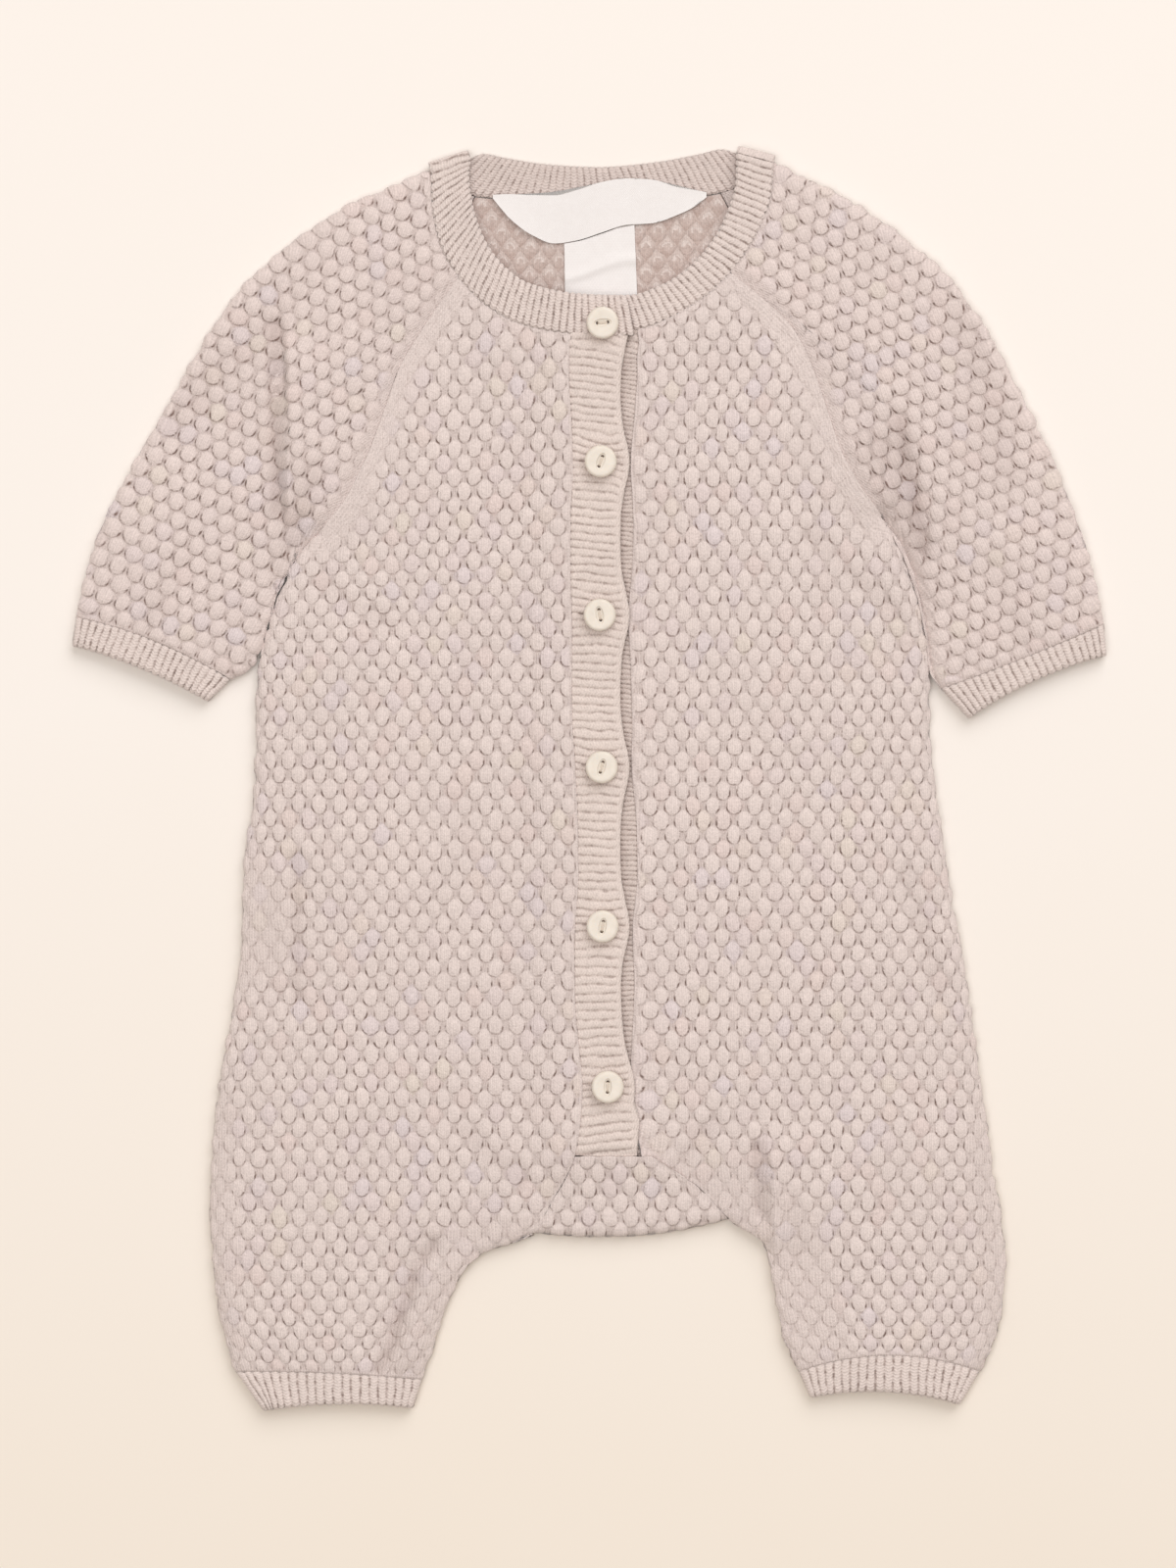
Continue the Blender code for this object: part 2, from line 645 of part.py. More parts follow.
def plain_between_ribs(grid, every=PLAIN_STEP):
    """A ribbed wall's plain face: the same grid, with its rows on straight lines between every few points."""
    count = grid.shape[1]
    keys = np.unique(np.append(np.arange(0, count, every), count - 1))
    flat = grid.transpose(1, 0, 2).reshape(count, -1)
    at = np.arange(count)
    straight = np.stack([np.interp(at, keys, flat[keys, i]) for i in range(flat.shape[1])], axis=1)
    return straight.reshape(count, -1, 3).transpose(1, 0, 2)


def make_front(name, rows, marks, neck_table, neck_rows, ankle_bow, edges, rise):
    """A front with its leg: rows from the ankle up to the neck, each from the side to the placket or inseam."""
    plan = rows_between(rows, FRONT_COLUMNS)
    shares = stations(plan[0]) / stations(plan[0])[-1]
    plan = bend_row(plan, 0, bowed(plan[0, 0], plan[0, -1], ankle_bow, shares), CUFF_REACH)
    shares = stations(plan[-1]) / stations(plan[-1])[-1]
    neckline = curve(neck_seam(neck_table, *neck_rows, EDGE_POINTS), at=shares)
    plan = bend_row(plan, -1, neckline, NECK_REACH)
    sewn_side = np.where(np.arange(len(plan)) >= marks[UNDERARM], GAP / 2, 0.0)
    sewn_inner = np.where(np.arange(len(plan)) > marks[CROTCH], GAP / 2, 0.0)
    plan = drawn_in(plan, CUFF_GAP, CURVE_GAP, sewn_side, sewn_inner)
    seams = row_seam(no_seams(plan), plan, 0)
    seams[marks[CROTCH], -1] = unit(plan[marks[CROTCH] + 1, -1] - plan[marks[CROTCH], -1])
    seams[marks[UNDERARM], 0] = unit(plan[marks[UNDERARM] + 1, 0] - plan[marks[UNDERARM], 0])
    outer, inner = upper_layer(plan, edges, KNIT_WALL, rise, seams=seams)
    return wall(name, outer, inner, "knit")


def make_back():
    """The back with both legs: the legs' rows join the body's rows at the crotch."""
    legs = 2 * len(EDGE_STEPS) + LEG_COLUMNS
    right_leg = rows_between(RIGHT_ROWS[: RIGHT_MARKS[CROTCH] + 1], LEG_COLUMNS)
    count = len(right_leg)
    left_ends = through(
        LEFT_ROWS[: LEFT_MARKS[CROTCH] + 1],
        np.linspace(0.0, 1.0, LEFT_MARKS[CROTCH] + 1),
        np.linspace(0.0, 1.0, count),
    )
    left_leg = rows_between(left_ends[:, [2, 3, 0, 1]], LEG_COLUMNS)
    for leg, bow in ((right_leg, CUFFS[2].seam_bow), (left_leg, CUFFS[3].seam_bow)):
        shares = stations(leg[0]) / stations(leg[0])[-1]
        bend_row(leg, 0, bowed(leg[0, 0], leg[0, -1], bow, shares), CUFF_REACH)
    between = crotch_line(CROTCH_COLUMNS + 2)[1:-1]
    base = np.concatenate([right_leg[-1], between, left_leg[-1]])
    legs_plan = np.concatenate([right_leg, np.tile(between, (count, 1, 1)), left_leg], axis=1)

    right_side = RIGHT_ROWS[RIGHT_MARKS[CROTCH] : RIGHT_MARKS[UNDERARM] + 1, :2]
    left_all = LEFT_ROWS[LEFT_MARKS[CROTCH] : LEFT_MARKS[UNDERARM] + 1, :2]
    left_side = curve(left_all, at=stations(right_side) / stations(right_side)[-1])
    shares = stations(base) / stations(base)[-1]
    body = [base]
    lengths = stations(right_side)
    even = rows_between(np.array([[*right_side[-1], *left_side[-1]]]), len(base) - 2 * len(EDGE_STEPS))[0]
    target = stations(even) / stations(even)[-1]
    hang = base - (base[0] + (base[-1] - base[0]) * shares[:, None])
    for length, a, b in zip(lengths[1:], right_side[1:], left_side[1:]):
        t = blend(length / SPREAD_REACH)
        mixed = (shares * (1 - t) + target * t)[:, None]
        body.append(a + (b - a) * mixed + hang * (1.0 - blend(length / CROTCH_REACH)))
    yoke, _ = sections(BACK_YOKE)
    for ax, ay, bx, by in yoke[1:]:
        body.append(np.array([ax, ay]) + target[:, None] * np.array([bx - ax, by - ay]))
    nape = curve(neck_seam(NECK_BACK, "right raglan", "left raglan", EDGE_POINTS), at=target)
    body = bend_row(np.array(body), -1, nape, NAPE_REACH)
    plan = np.concatenate([legs_plan, body[1:]])
    sewn = np.where(np.arange(len(plan)) >= len(plan) - len(yoke), GAP / 2, 0.0)
    plan = drawn_in(plan, CUFF_GAP, CURVE_GAP, sewn, sewn)
    present = np.ones((len(plan) - 1, plan.shape[1] - 1), bool)
    present[: count - 1, legs - 1 : legs + CROTCH_COLUMNS] = False
    edges = edges_of("right side", "left side", "right inseam", "left inseam", "crotch")
    outer, inner = lower_layer(plan, edges, KNIT_WALL)
    return wall("back", outer, inner, "knit", present)


def gusset_rise(points):
    reach = GUSSET_RISE_TO_Y - GUSSET_RISE_FROM_Y
    return GUSSET_RISE * blend((points[..., 1] - GUSSET_RISE_FROM_Y) / reach)


def make_gusset():
    """The inset between the legs, from the crotch up to the bands' end."""
    right = RIGHT_ROWS[RIGHT_MARKS[CROTCH] : RIGHT_MARKS[PLACKET] + 1, 2:]
    left = curve(LEFT_ROWS[LEFT_MARKS[CROTCH] : LEFT_MARKS[PLACKET] + 1, 2:], len(right))
    bottom = crotch_line(GUSSET_COLUMNS)
    top = np.linspace(right[-1], left[-1], GUSSET_COLUMNS)
    plan = coons(bottom, top, right, left)
    step = plan[1] - plan[0]
    step /= np.linalg.norm(step, axis=1)[:, None]
    plan = np.concatenate([[plan[0] + step * reach for reach in EDGE_STEPS], plan[1:]])
    plan = drawn_in(plan, 0.0, GUSSET_GAP, GUSSET_GAP, GUSSET_GAP)
    seams = no_seams(plan)
    seams[0, 0] = unit(plan[-1, 0] - plan[0, 0])
    seams[0, -1] = unit(plan[-1, -1] - plan[0, -1])
    outer, inner = upper_layer(plan, edges_of("crotch"), KNIT_WALL, gusset_rise, seams=seams)
    return wall("gusset", outer, inner, "knit")


def make_sleeve(name, raglan_front, front_table, raglan_back, back_rows, lower, upper, cuff, edges):
    """A raglan sleeve: a flat tube from the cuff seam to the loop of the armhole and neckline."""
    columns = len(raglan_back) + BACK_NECK_POINTS - 1
    neck_front = neck_seam(front_table, "raglan", "fold", columns + 1 - len(raglan_front))
    neck_back = neck_seam(NECK_BACK, *back_rows, BACK_NECK_POINTS)
    halves, seams = [], []
    for raglan, neck in ((raglan_front, neck_front), (raglan_back, neck_back)):
        loop = np.concatenate([raglan, neck[1:]])
        shares = edge_shares(np.linalg.norm(np.subtract(cuff.seam_b, cuff.seam_a)), columns - 6)
        bottom = bowed(cuff.seam_a, cuff.seam_b, cuff.seam_bow, shares)
        plan = coons(bottom, loop, curve(lower, SLEEVE_RINGS), curve(upper, SLEEVE_RINGS))
        loop_gap = np.where(np.arange(columns) >= len(raglan) - 1, CURVE_GAP, GAP / 2)
        loop_gap[0] = GAP
        plan = drawn_in(plan, CUFF_GAP, loop_gap)
        halves.append(plan)
        seams.append(row_seam(no_seams(plan), plan, 0))
        seams[-1][-1, 0] = unit(plan[-1, 1] - plan[-1, 0])
        seams[-1][-1, -1] = unit(plan[-1, -2] - plan[-1, -1])
    (front, back), (front_seams, back_seams) = halves, seams
    back_seams[-1, [0, -1]] = front_seams[-1, [0, -1]]
    back[:, [0, -1]] = front[:, [0, -1]]
    outer_up, inner_up = upper_layer(front, edges, KNIT_WALL, join=MID_HEIGHT, seams=front_seams)
    outer_down, inner_down = lower_layer(back, edges, KNIT_WALL, join=MID_HEIGHT, seams=back_seams)
    outer = np.concatenate([outer_up, outer_down[:, -2:0:-1]], axis=1)
    inner = np.concatenate([inner_up, inner_down[:, -2:0:-1]], axis=1)
    return wall(name, outer, inner, "knit", ring=True)


def make_cuff(cuff):
    """A ribbed tube, ribs on its upper half and plain where it rests."""
    shares = np.linspace(0.0, 1.0, 2 * cuff.ribs + 1)
    side = CUFF_SIDE_POINTS
    plain = np.concatenate([shares[:side], shares[2 * side : 1 - 2 * side : 2 * side], shares[-side:]])
    layers = []
    for at, layer in ((shares, upper_layer), (plain, lower_layer)):
        seam = bowed(cuff.seam_a, cuff.seam_b, cuff.seam_bow, at)
        end = bowed(cuff.end_a, cuff.end_b, cuff.end_bow, at)
        edges = [np.array([seam[0], end[0]]), np.array([end[-1], seam[-1]])]
        inward = GAP / 2 * (end - seam) / np.linalg.norm(end - seam, axis=1)[:, None]
        plan = np.stack([seam + inward, end])
        seams = row_seam(row_seam(no_seams(plan), plan, 0), plan, 1)
        layers.append(layer(plan, edges, RIB_WALL, join=MID_HEIGHT, seams=seams))
    (outer_up, inner_up), (outer_down, inner_down) = layers
    outer_up[:, side - 1 : 1 - side : 2, 2] += RIB_HEIGHT
    inner_up = plain_between_ribs(inner_up, CUFF_PLAIN_STEP)
    inner_down[:, [0, -1]] = inner_up[:, [0, -1]]
    outer = np.concatenate([outer_up, outer_down[:, -2:0:-1]], axis=1)
    inner = np.concatenate([inner_up, inner_down[:, -2:0:-1]], axis=1)
    return wall(cuff.name, outer, inner, "rib", ring=True)


def make_neckband():
    """One ribbed strip round the neck, folded over at each shoulder, its ends lying over each other in front."""
    free, seam, lean, out = [], [], [], []

    def add(free_point, seam_point, angle, direction):
        free.append(free_point)
        seam.append(seam_point)
        lean.append(angle)
        out.append(direction)

    def run(table, angle):
        rows = numbers(table)
        where = stations((rows[:, :2] + rows[:, 2:]) / 2)
        count = round(where[-1] / (RIB_PITCH / 2))
        for row in through(rows, where, np.linspace(0.0, where[-1], count + 1)):
            add(row[:2], row[2:], angle, np.zeros(2))

    def fold_over(turn, first, last):
        free_point = np.array([turn.free_x, turn.free_y])
        seam_point = np.array([turn.seam_x, turn.seam_y])
        across = seam_point - free_point
        direction = np.array([across[1], -across[0]]) / math.hypot(*across)
        direction *= math.copysign(1.0, direction[1])
        for angle in np.linspace(first, last, FOLD_POINTS + 2)[1:-1]:
            add(free_point, seam_point, angle, direction)

    run(NECK_FRONT_RIGHT, 0.0)
    right_front = len(free)
    fold_over(NECK_BACK[0], 0.0, math.pi)
    run(NECK_BACK, math.pi)
    fold_over(NECK_BACK[-1], math.pi, 0.0)
    left_front = len(free)
    run(NECK_FRONT_LEFT, 0.0)

    plan = np.stack([np.array(free), np.array(seam)])
    lean = np.array(lean)
    out = np.array(out)
    sin, cos = np.sin(lean), np.cos(lean)
    upright = np.array([relief(line) for line in plan]) * np.clip(cos, 0.0, 1.0)
    rise = np.zeros_like(upright)
    rise[:, :right_front] = placket_rise(plan[:, :right_front])
    # The middle of the wall goes round from the front layer to the back, which lies on the surface.
    low, high = RIB_WALL / 2, FRONT_INNER + RIB_WALL / 2
    centre = (low + high) / 2 + (high - low) / 2 * cos
    bulge = (MID_HEIGHT - RIB_WALL / 2) * sin
    place = np.dstack([plan + out[None] * bulge[None, :, None], centre + upright + rise])
    normal = np.column_stack([out * sin[:, None], cos])
    crest = np.zeros(len(lean))
    crest[1:-1:2] = RIB_HEIGHT
    above = np.where(cos > -0.1, 1.0, 0.0)
    outer = place + normal * (RIB_WALL / 2 + crest * above)[:, None]
    inner = place - normal * (RIB_WALL / 2)
    # The folded-over back shows its other face, so its ribs are raised on that one.
    back = slice(right_front + FOLD_POINTS, left_front - FOLD_POINTS)
    raised = inner - normal * (crest * (1.0 - above))[:, None]
    inner = plain_between_ribs(inner)
    inner[:, back] = raised[:, back]
    outer[:, back] = plain_between_ribs(outer)[:, back]
    outer[:, back, 2] = 0.0
    return wall("neckband", outer, inner, "rib")


def band_rows():
    count = 2 * round((BAND_TOP_Y - BAND_END_Y) / RIB_PITCH)
    return np.linspace(BAND_END_Y, BAND_TOP_Y, count + 1)


def placket_line(rows, y):
    """The sewn edge of a front at height y, from its own rows."""
    return np.interp(y, rows[:, 3], rows[:, 2])


def free_edge(y):
    """The buttonhole band's free edge, which goes out a little beside each button."""
    bulge = sum(np.exp(-(((y - b.y) / BULGE_REACH) ** 2)) for b in BUTTONS)
    drift = TOP_BAND_DRIFT * blend((DRIFT_FROM_Y - y) / (DRIFT_FROM_Y - DRIFT_TO_Y))
    return TOP_BAND_EDGE_X + TOP_BAND_BULGE * bulge + drift


def make_band(name, left_x, right_x, y, lift):
    plan = np.stack([np.column_stack([left_x, y]), np.column_stack([right_x, y])])
    height = relief(plan) + lift
    crest = np.zeros(len(y))
    crest[1:-1:2] = RIB_HEIGHT
    outer = np.dstack([plan, FRONT_INNER + RIB_WALL + height + crest])
    inner = plain_between_ribs(np.dstack([plan, FRONT_INNER + height]))
    return wall(name, outer, inner, "rib")


def make_bands():
    y = band_rows()
    sewn_right = placket_line(RIGHT_ROWS[RIGHT_MARKS[PLACKET] :], y) + GAP
    sewn_left = placket_line(LEFT_ROWS[LEFT_MARKS[PLACKET] :], y) - GAP
    make_band("band_top", sewn_right, free_edge(y), y, OVERLAP_RISE)
    make_band("band_under", np.full(len(y), UNDER_BAND_LEFT_X), sewn_left, y, 0.0)


def make_button(number, button):
    """A turned two-hole button with a raised rim, resting on the band."""
    shape = bmesh.new()
    radius, height = BUTTON_RADIUS * MM, BUTTON_HEIGHT * MM
    line = [shape.verts.new((ring.radius * radius, 0.0, ring.height * height)) for ring in BUTTON_PROFILE]
    edges = [shape.edges.new(pair) for pair in zip(line, line[1:])]
    bmesh.ops.spin(
        shape,
        geom=line + edges,
        cent=(0, 0, 0),
        axis=(0, 0, 1),
        angle=2 * math.pi,
        steps=BUTTON_SIDES,
        use_merge=True,
    )
    bmesh.ops.remove_doubles(shape, verts=shape.verts, dist=1e-6)
    bmesh.ops.recalc_face_normals(shape, faces=shape.faces)
    mesh = bpy.data.meshes.new(f"button_{number}")
    shape.to_mesh(mesh)
    shape.free()
    shade(mesh)
    made = new_object(f"button_{number}", mesh, "button")
    rest = FRONT_INNER + RIB_WALL + RIB_HEIGHT + OVERLAP_RISE + GAP
    spread = BUTTON_RADIUS * np.array([-0.8, 0.0, 0.8])
    around = np.array([[button.x + dx, button.y + dy] for dx in spread for dy in spread])
    made.location = (button.x * MM, button.y * MM, (rest + relief(around).max()) * MM)
    made.rotation_euler = (0.0, 0.0, math.radians(button.turn))
    for side in (-1, 1):
        cutter = bmesh.new()
        bmesh.ops.create_cone(
            cutter,
            cap_ends=True,
            segments=BUTTON_HOLE_SIDES,
            radius1=BUTTON_HOLE_RADIUS * MM,
            radius2=BUTTON_HOLE_RADIUS * MM,
            depth=4 * height,
        )
        hole_mesh = bpy.data.meshes.new(f"hole_{number}")
        cutter.to_mesh(hole_mesh)
        cutter.free()
        hole = bpy.data.objects.new(f"hole_{number}_{side}", hole_mesh)
        bpy.context.collection.objects.link(hole)
        hole.parent = made
        hole.location = (side * BUTTON_HOLE_SPREAD * MM, 0.0, height / 2)
        hole.hide_render = True
        hole.display_type = "WIRE"
        cut = made.modifiers.new(f"hole_{side}", "BOOLEAN")
        cut.operation = "DIFFERENCE"
        cut.object = hole
    return made


def make_labels():
    """The leaf-shaped neck label, and the size tab that hangs from it on the inside of the back."""
    leaf = numbers(NECK_LABEL)
    x = np.linspace(leaf[0, 0], leaf[-1, 0], LABEL_COLUMNS)
    edges = through(leaf[:, 1:], leaf[:, 0], x)
    share = np.linspace(0.0, 1.0, LABEL_ROWS)[:, None]
    y = edges[:, 0] * (1 - share) + edges[:, 1] * share
    plan = np.dstack([np.tile(x, (LABEL_ROWS, 1)), y])
    height = np.full(y.shape, LABEL_HEIGHT)
    wall("label_neck", np.dstack([plan, height + LABEL_WALL]), np.dstack([plan, height]), "label")

    top_x = np.linspace(TAB_TOP_LEFT_X, TAB_TOP_RIGHT_X, TAB_COLUMNS)
    top = np.column_stack([top_x, through(leaf[:, 1:2], leaf[:, 0], top_x)[:, 0] - GAP])
    bottom = np.linspace(TAB_LEFT, TAB_RIGHT, TAB_COLUMNS) - np.array([0.0, TAB_HIDDEN])
    plan = np.linspace(bottom, top, TAB_ROWS)
    height = np.full(plan.shape[:2], KNIT_WALL + GAP)
    wall("label_size", np.dstack([plan, height + LABEL_WALL]), np.dstack([plan, height]), "label")


def main():
    for item in list(bpy.data.objects):
        bpy.data.objects.remove(item, do_unlink=True)

    right_neck, left_neck = ("raglan", "placket"), ("raglan", "throat")
    right_edges, left_edges = edges_of("right side", "right inseam"), edges_of("left side", "left inseam")
    right_bow, left_bow = CUFFS[2].seam_bow, CUFFS[3].seam_bow
    make_front(
        "front_right", RIGHT_ROWS, RIGHT_MARKS, NECK_FRONT_RIGHT, right_neck, right_bow, right_edges, placket_rise
    )
    make_front("front_left", LEFT_ROWS, LEFT_MARKS, NECK_FRONT_LEFT, left_neck, left_bow, left_edges, no_rise)
    make_back()
    make_gusset()

    yoke, _ = sections(BACK_YOKE)
    make_sleeve(
        "sleeve_right",
        RIGHT_ROWS[RIGHT_MARKS[UNDERARM] :, :2],
        NECK_FRONT_RIGHT,
        yoke[:, :2],
        ("right raglan", "right fold"),
        RIGHT_SLEEVE_LOWER,
        RIGHT_SLEEVE_UPPER,
        CUFFS[0],
        edges_of("right sleeve upper", "right sleeve lower"),
    )
    make_sleeve(
        "sleeve_left",
        LEFT_ROWS[LEFT_MARKS[UNDERARM] :, :2],
        NECK_FRONT_LEFT,
        yoke[:, 2:],
        ("left raglan", "left fold"),
        left_sleeve_lower(),
        LEFT_SLEEVE_UPPER,
        CUFFS[1],
        edges_of("left sleeve upper", "left sleeve lower"),
    )
    for cuff in CUFFS:
        make_cuff(cuff)
    make_neckband()
    make_bands()
    for number, button in enumerate(BUTTONS, 1):
        make_button(number, button)
    make_labels()


main()
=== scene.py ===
"""A newborn's romper in bubble knit, laid flat on its back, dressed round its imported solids.

X runs across the garment, with the wearer's left at +X. Y runs from the legs up to the neck, and Z upwards.
Sizes are in millimetres and become metres where a mesh is made.
"""

import math
from collections import namedtuple

import bmesh
import bpy
import numpy as np
from mathutils import Matrix, Vector


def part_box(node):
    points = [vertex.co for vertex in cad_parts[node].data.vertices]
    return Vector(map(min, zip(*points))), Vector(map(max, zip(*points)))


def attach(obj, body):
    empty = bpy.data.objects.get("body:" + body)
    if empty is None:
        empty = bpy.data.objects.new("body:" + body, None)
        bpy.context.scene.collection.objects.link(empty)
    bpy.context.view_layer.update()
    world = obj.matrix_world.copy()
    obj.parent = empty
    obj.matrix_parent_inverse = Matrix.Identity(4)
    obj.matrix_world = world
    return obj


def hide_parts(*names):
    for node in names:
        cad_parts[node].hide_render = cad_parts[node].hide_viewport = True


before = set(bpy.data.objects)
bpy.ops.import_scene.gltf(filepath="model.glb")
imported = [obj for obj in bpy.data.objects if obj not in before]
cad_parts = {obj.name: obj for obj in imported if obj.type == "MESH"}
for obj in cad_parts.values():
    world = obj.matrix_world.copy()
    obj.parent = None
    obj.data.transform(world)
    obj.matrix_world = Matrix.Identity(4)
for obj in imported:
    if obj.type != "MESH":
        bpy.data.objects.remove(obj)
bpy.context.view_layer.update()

MM = 0.001

# ---------------------------------------------------------------- The two fronts, each with its leg
# Two panels of bubble stitch in a soft beige-pink lambswool blend, knitted from the neck to the ankle. Each
# is sewn to a sleeve along its raglan, rounds over to the back at the side, and is sewn to a placket band.
# The right one climbs on to the button band, so it lies higher there than the left one.

KNIT_WALL = 2.0
GAP = 0.3  # the clearance along a seam
CUFF_GAP = 0.3  # the same where a cuff is sewn on
CURVE_GAP = 0.5  # the same at the neckline
CLOSED = 0.08  # the share of a clearance that is left on the outer face
MID_HEIGHT = 2.6  # where front and back meet along a side edge
FRONT_INNER = 3.2  # inner face of the front layer
EDGE_RADIUS = 4.0  # how far in from a side edge the cloth is flat again
EDGE_STEPS = (0.0, EDGE_RADIUS * (1.0 - math.cos(math.pi / 4)), EDGE_RADIUS)
ROLL_SHARES = (0.0, 0.13, 0.4, 0.7)  # where finer points go in the first of those steps
ON_EDGE = 0.5  # points this near a side edge count as lying on it
PUFF, PUFF_REACH = 1.0, 25.0  # how much fuller the front lies away from the outline
OVERLAP_RISE = 2.4  # the buttonhole band and the neckband's upper end lie this much above the layer below
RISE_X, RISE_Y = (-24.0, -8.0), (-134.0, -118.0)  # between these the right front climbs as far
FOLD_OVER, FOLD_FADE = 6.0, 14.0  # a fold runs on this far past each end, and fades out over this length
ROW_STEP = 9.5
FRONT_COLUMNS = 6
FRONT_GRAIN = 0.76  # how far apart the points of a front's outer face are
EDGE_POINTS = 25  # on each line that cloth is rounded over
CUFF_REACH = 30.0  # how far up a leg its rows bend with the cuff's seam
NECK_REACH = 40.0  # how far below the neckline the fronts' rows bend with it
SEAM_REACH = 2.0  # how far from a sewn edge the cloth begins to go down to it
SEWN_DIP, RAGLAN_DIP = 0.2, 0.08  # how far it goes down at a flat seam, and at a raglan's plump one


def listed(kind, *rows):
    """A table's rows with their columns named."""
    return [kind(*row) for row in rows]


Section = namedtuple("Section", "name side_x side_y inner_x inner_y")
RIGHT_FRONT = listed(
    Section,
    ("ankle", -111.9, -188.5, -52.7, -191.0), ("shin", -115.6, -176.1, -48.4, -177.0),
    ("calf", -118.0, -161.0, -43.1, -162.1), ("knee", -119.2, -152.0, -34.5, -151.2),
    ("crotch", -119.5, -143.0, -17.0, -144.4), ("gusset", -119.7, -133.0, -11.8, -134.5),
    ("placket", -119.0, -119.5, -4.5, -120.0), ("hip", -116.8, -98.0, -2.0, -98.6),
    ("seat", -112.8, -75.0, -4.2, -75.0), ("waist", -109.9, -55.0, -4.6, -55.0),
    ("middle", -108.9, -28.0, -3.2, -28.0), ("ribs", -105.4, -3.0, -4.0, -3.0),
    ("chest", -105.2, 25.0, -5.4, 25.0), ("bust", -101.4, 43.0, -5.3, 46.0), ("arm", -96.5, 57.5, -5.8, 62.0),
    ("underarm", -85.6, 76.6, -5.7, 84.0), ("raglan_1", -77.2, 87.4, -5.0, 95.0),
    ("raglan_2", -70.1, 101.4, -5.2, 106.0), ("raglan_3", -64.8, 115.3, -5.8, 117.0),
    ("raglan_4", -59.8, 129.3, -6.2, 127.0), ("raglan_5", -52.4, 141.7, -6.0, 134.0),
    ("neck", -41.2, 157.8, -5.9, 139.9),
)
LEFT_FRONT = listed(
    Section,
    ("ankle", 123.7, -188.5, 66.3, -188.5), ("shin", 129.3, -176.1, 61.8, -178.0),
    ("calf", 131.1, -163.0, 59.2, -163.7), ("knee", 131.4, -151.3, 55.8, -148.7),
    ("crotch", 130.5, -138.9, 44.6, -140.2), ("gusset", 128.3, -129.0, 34.5, -129.8),
    ("placket", 127.0, -119.0, 19.5, -120.0), ("hip", 124.0, -98.0, 16.5, -100.0),
    ("seat", 121.3, -79.0, 15.4, -80.0), ("waist", 118.3, -58.0, 15.3, -60.0),
    ("middle", 114.4, -36.6, 16.2, -35.0), ("ribs", 110.6, -12.0, 15.8, -12.0),
    ("chest", 107.9, 12.0, 15.0, 12.0), ("bust", 107.4, 34.0, 14.1, 32.0), ("arm", 103.0, 60.5, 14.6, 62.0),
    ("underarm", 93.0, 81.8, 14.9, 84.0), ("raglan_1", 86.5, 90.5, 15.0, 95.0),
    ("raglan_2", 80.3, 101.4, 15.2, 106.0), ("raglan_3", 76.0, 113.8, 15.5, 117.0),
    ("raglan_4", 71.9, 126.2, 16.0, 126.0), ("raglan_5", 64.5, 141.5, 16.0, 134.0),
    ("neck", 44.6, 159.3, 15.2, 141.4),
)
Turn = namedtuple("Turn", "name free_x free_y seam_x seam_y")
NECK_FRONT_RIGHT = listed(
    Turn,
    ("upper end", 12.1, 151.3, 14.3, 139.2), ("placket", -5.2, 152.4, -5.9, 139.9),
    ("throat", -18.9, 155.6, -22.0, 143.2), ("collar bone", -27.6, 161.8, -32.9, 149.4),
    ("raglan", -33.8, 171.1, -41.2, 157.8), ("neck side", -37.0, 181.0, -47.4, 169.5),
    ("shoulder", -38.1, 190.0, -49.6, 182.0), ("fold", -37.5, 195.5, -49.9, 191.6),
)
NECK_FRONT_LEFT = listed(
    Turn,
    ("fold", 46.8, 197.0, 58.3, 194.0), ("shoulder", 46.6, 188.5, 57.6, 184.5),
    ("neck side", 43.7, 177.9, 53.9, 173.6), ("raglan", 36.3, 165.5, 44.6, 159.3),
    ("collar bone", 24.5, 155.9, 30.7, 147.9), ("throat", 12.1, 151.9, 15.2, 141.4),
    ("lower end", -5.0, 151.9, -5.0, 139.8),
)
RIGHT_SLEEVE_UPPER = (
    (-162.4, 50.2), (-159.0, 65.7), (-149.1, 89.0), (-136.7, 111.3), (-124.3, 133.3), (-111.9, 152.0),
    (-93.3, 169.3), (-68.5, 184.3), (-49.9, 191.6),
)
RIGHT_SLEEVE_LOWER = (
    (-113.5, 30.4), (-108.0, 35.0), (-104.6, 43.0), (-102.4, 52.0), (-99.4, 63.0), (-93.0, 71.5),
    (-85.6, 76.6),
)
LEFT_SLEEVE_UPPER = (
    (163.1, 48.0), (160.3, 62.6), (154.7, 78.1), (147.9, 97.5), (139.2, 115.3), (129.9, 133.9),
    (119.0, 151.5), (98.9, 170.8), (74.1, 186.6), (58.3, 194.0),
)
LEFT_SLEEVE_CORNER = (111.3, 27.6)
SLEEVE_TO_SIDE = 0.9  # the left sleeve's lower edge lies this far from the body's side

Cuff = namedtuple("Cuff", "name seam_a seam_b seam_bow end_a end_b end_bow ribs")
CUFFS = listed(
    Cuff,
    ("cuff_sleeve_right", (-113.5, 30.4), (-162.4, 50.2), 2.3, (-120.3, 23.6), (-163.7, 41.5), 1.5, 22),
    ("cuff_sleeve_left", (111.3, 27.6), (163.1, 48.0), -0.7, (120.0, 18.2), (164.0, 38.4), 2.2, 22),
    ("cuff_leg_right", (-111.9, -188.5), (-52.7, -191.0), 0.9, (-103.4, -200.7), (-55.5, -199.9), 1.8, 21),
    ("cuff_leg_left", (66.3, -188.5), (123.7, -188.5), 5.2, (69.8, -196.5), (117.6, -198.8), 3.0, 21),
)
Fold = namedtuple("Fold", "name x0 y0 x1 y1 height left right")  # left and right: flank widths, seen along it
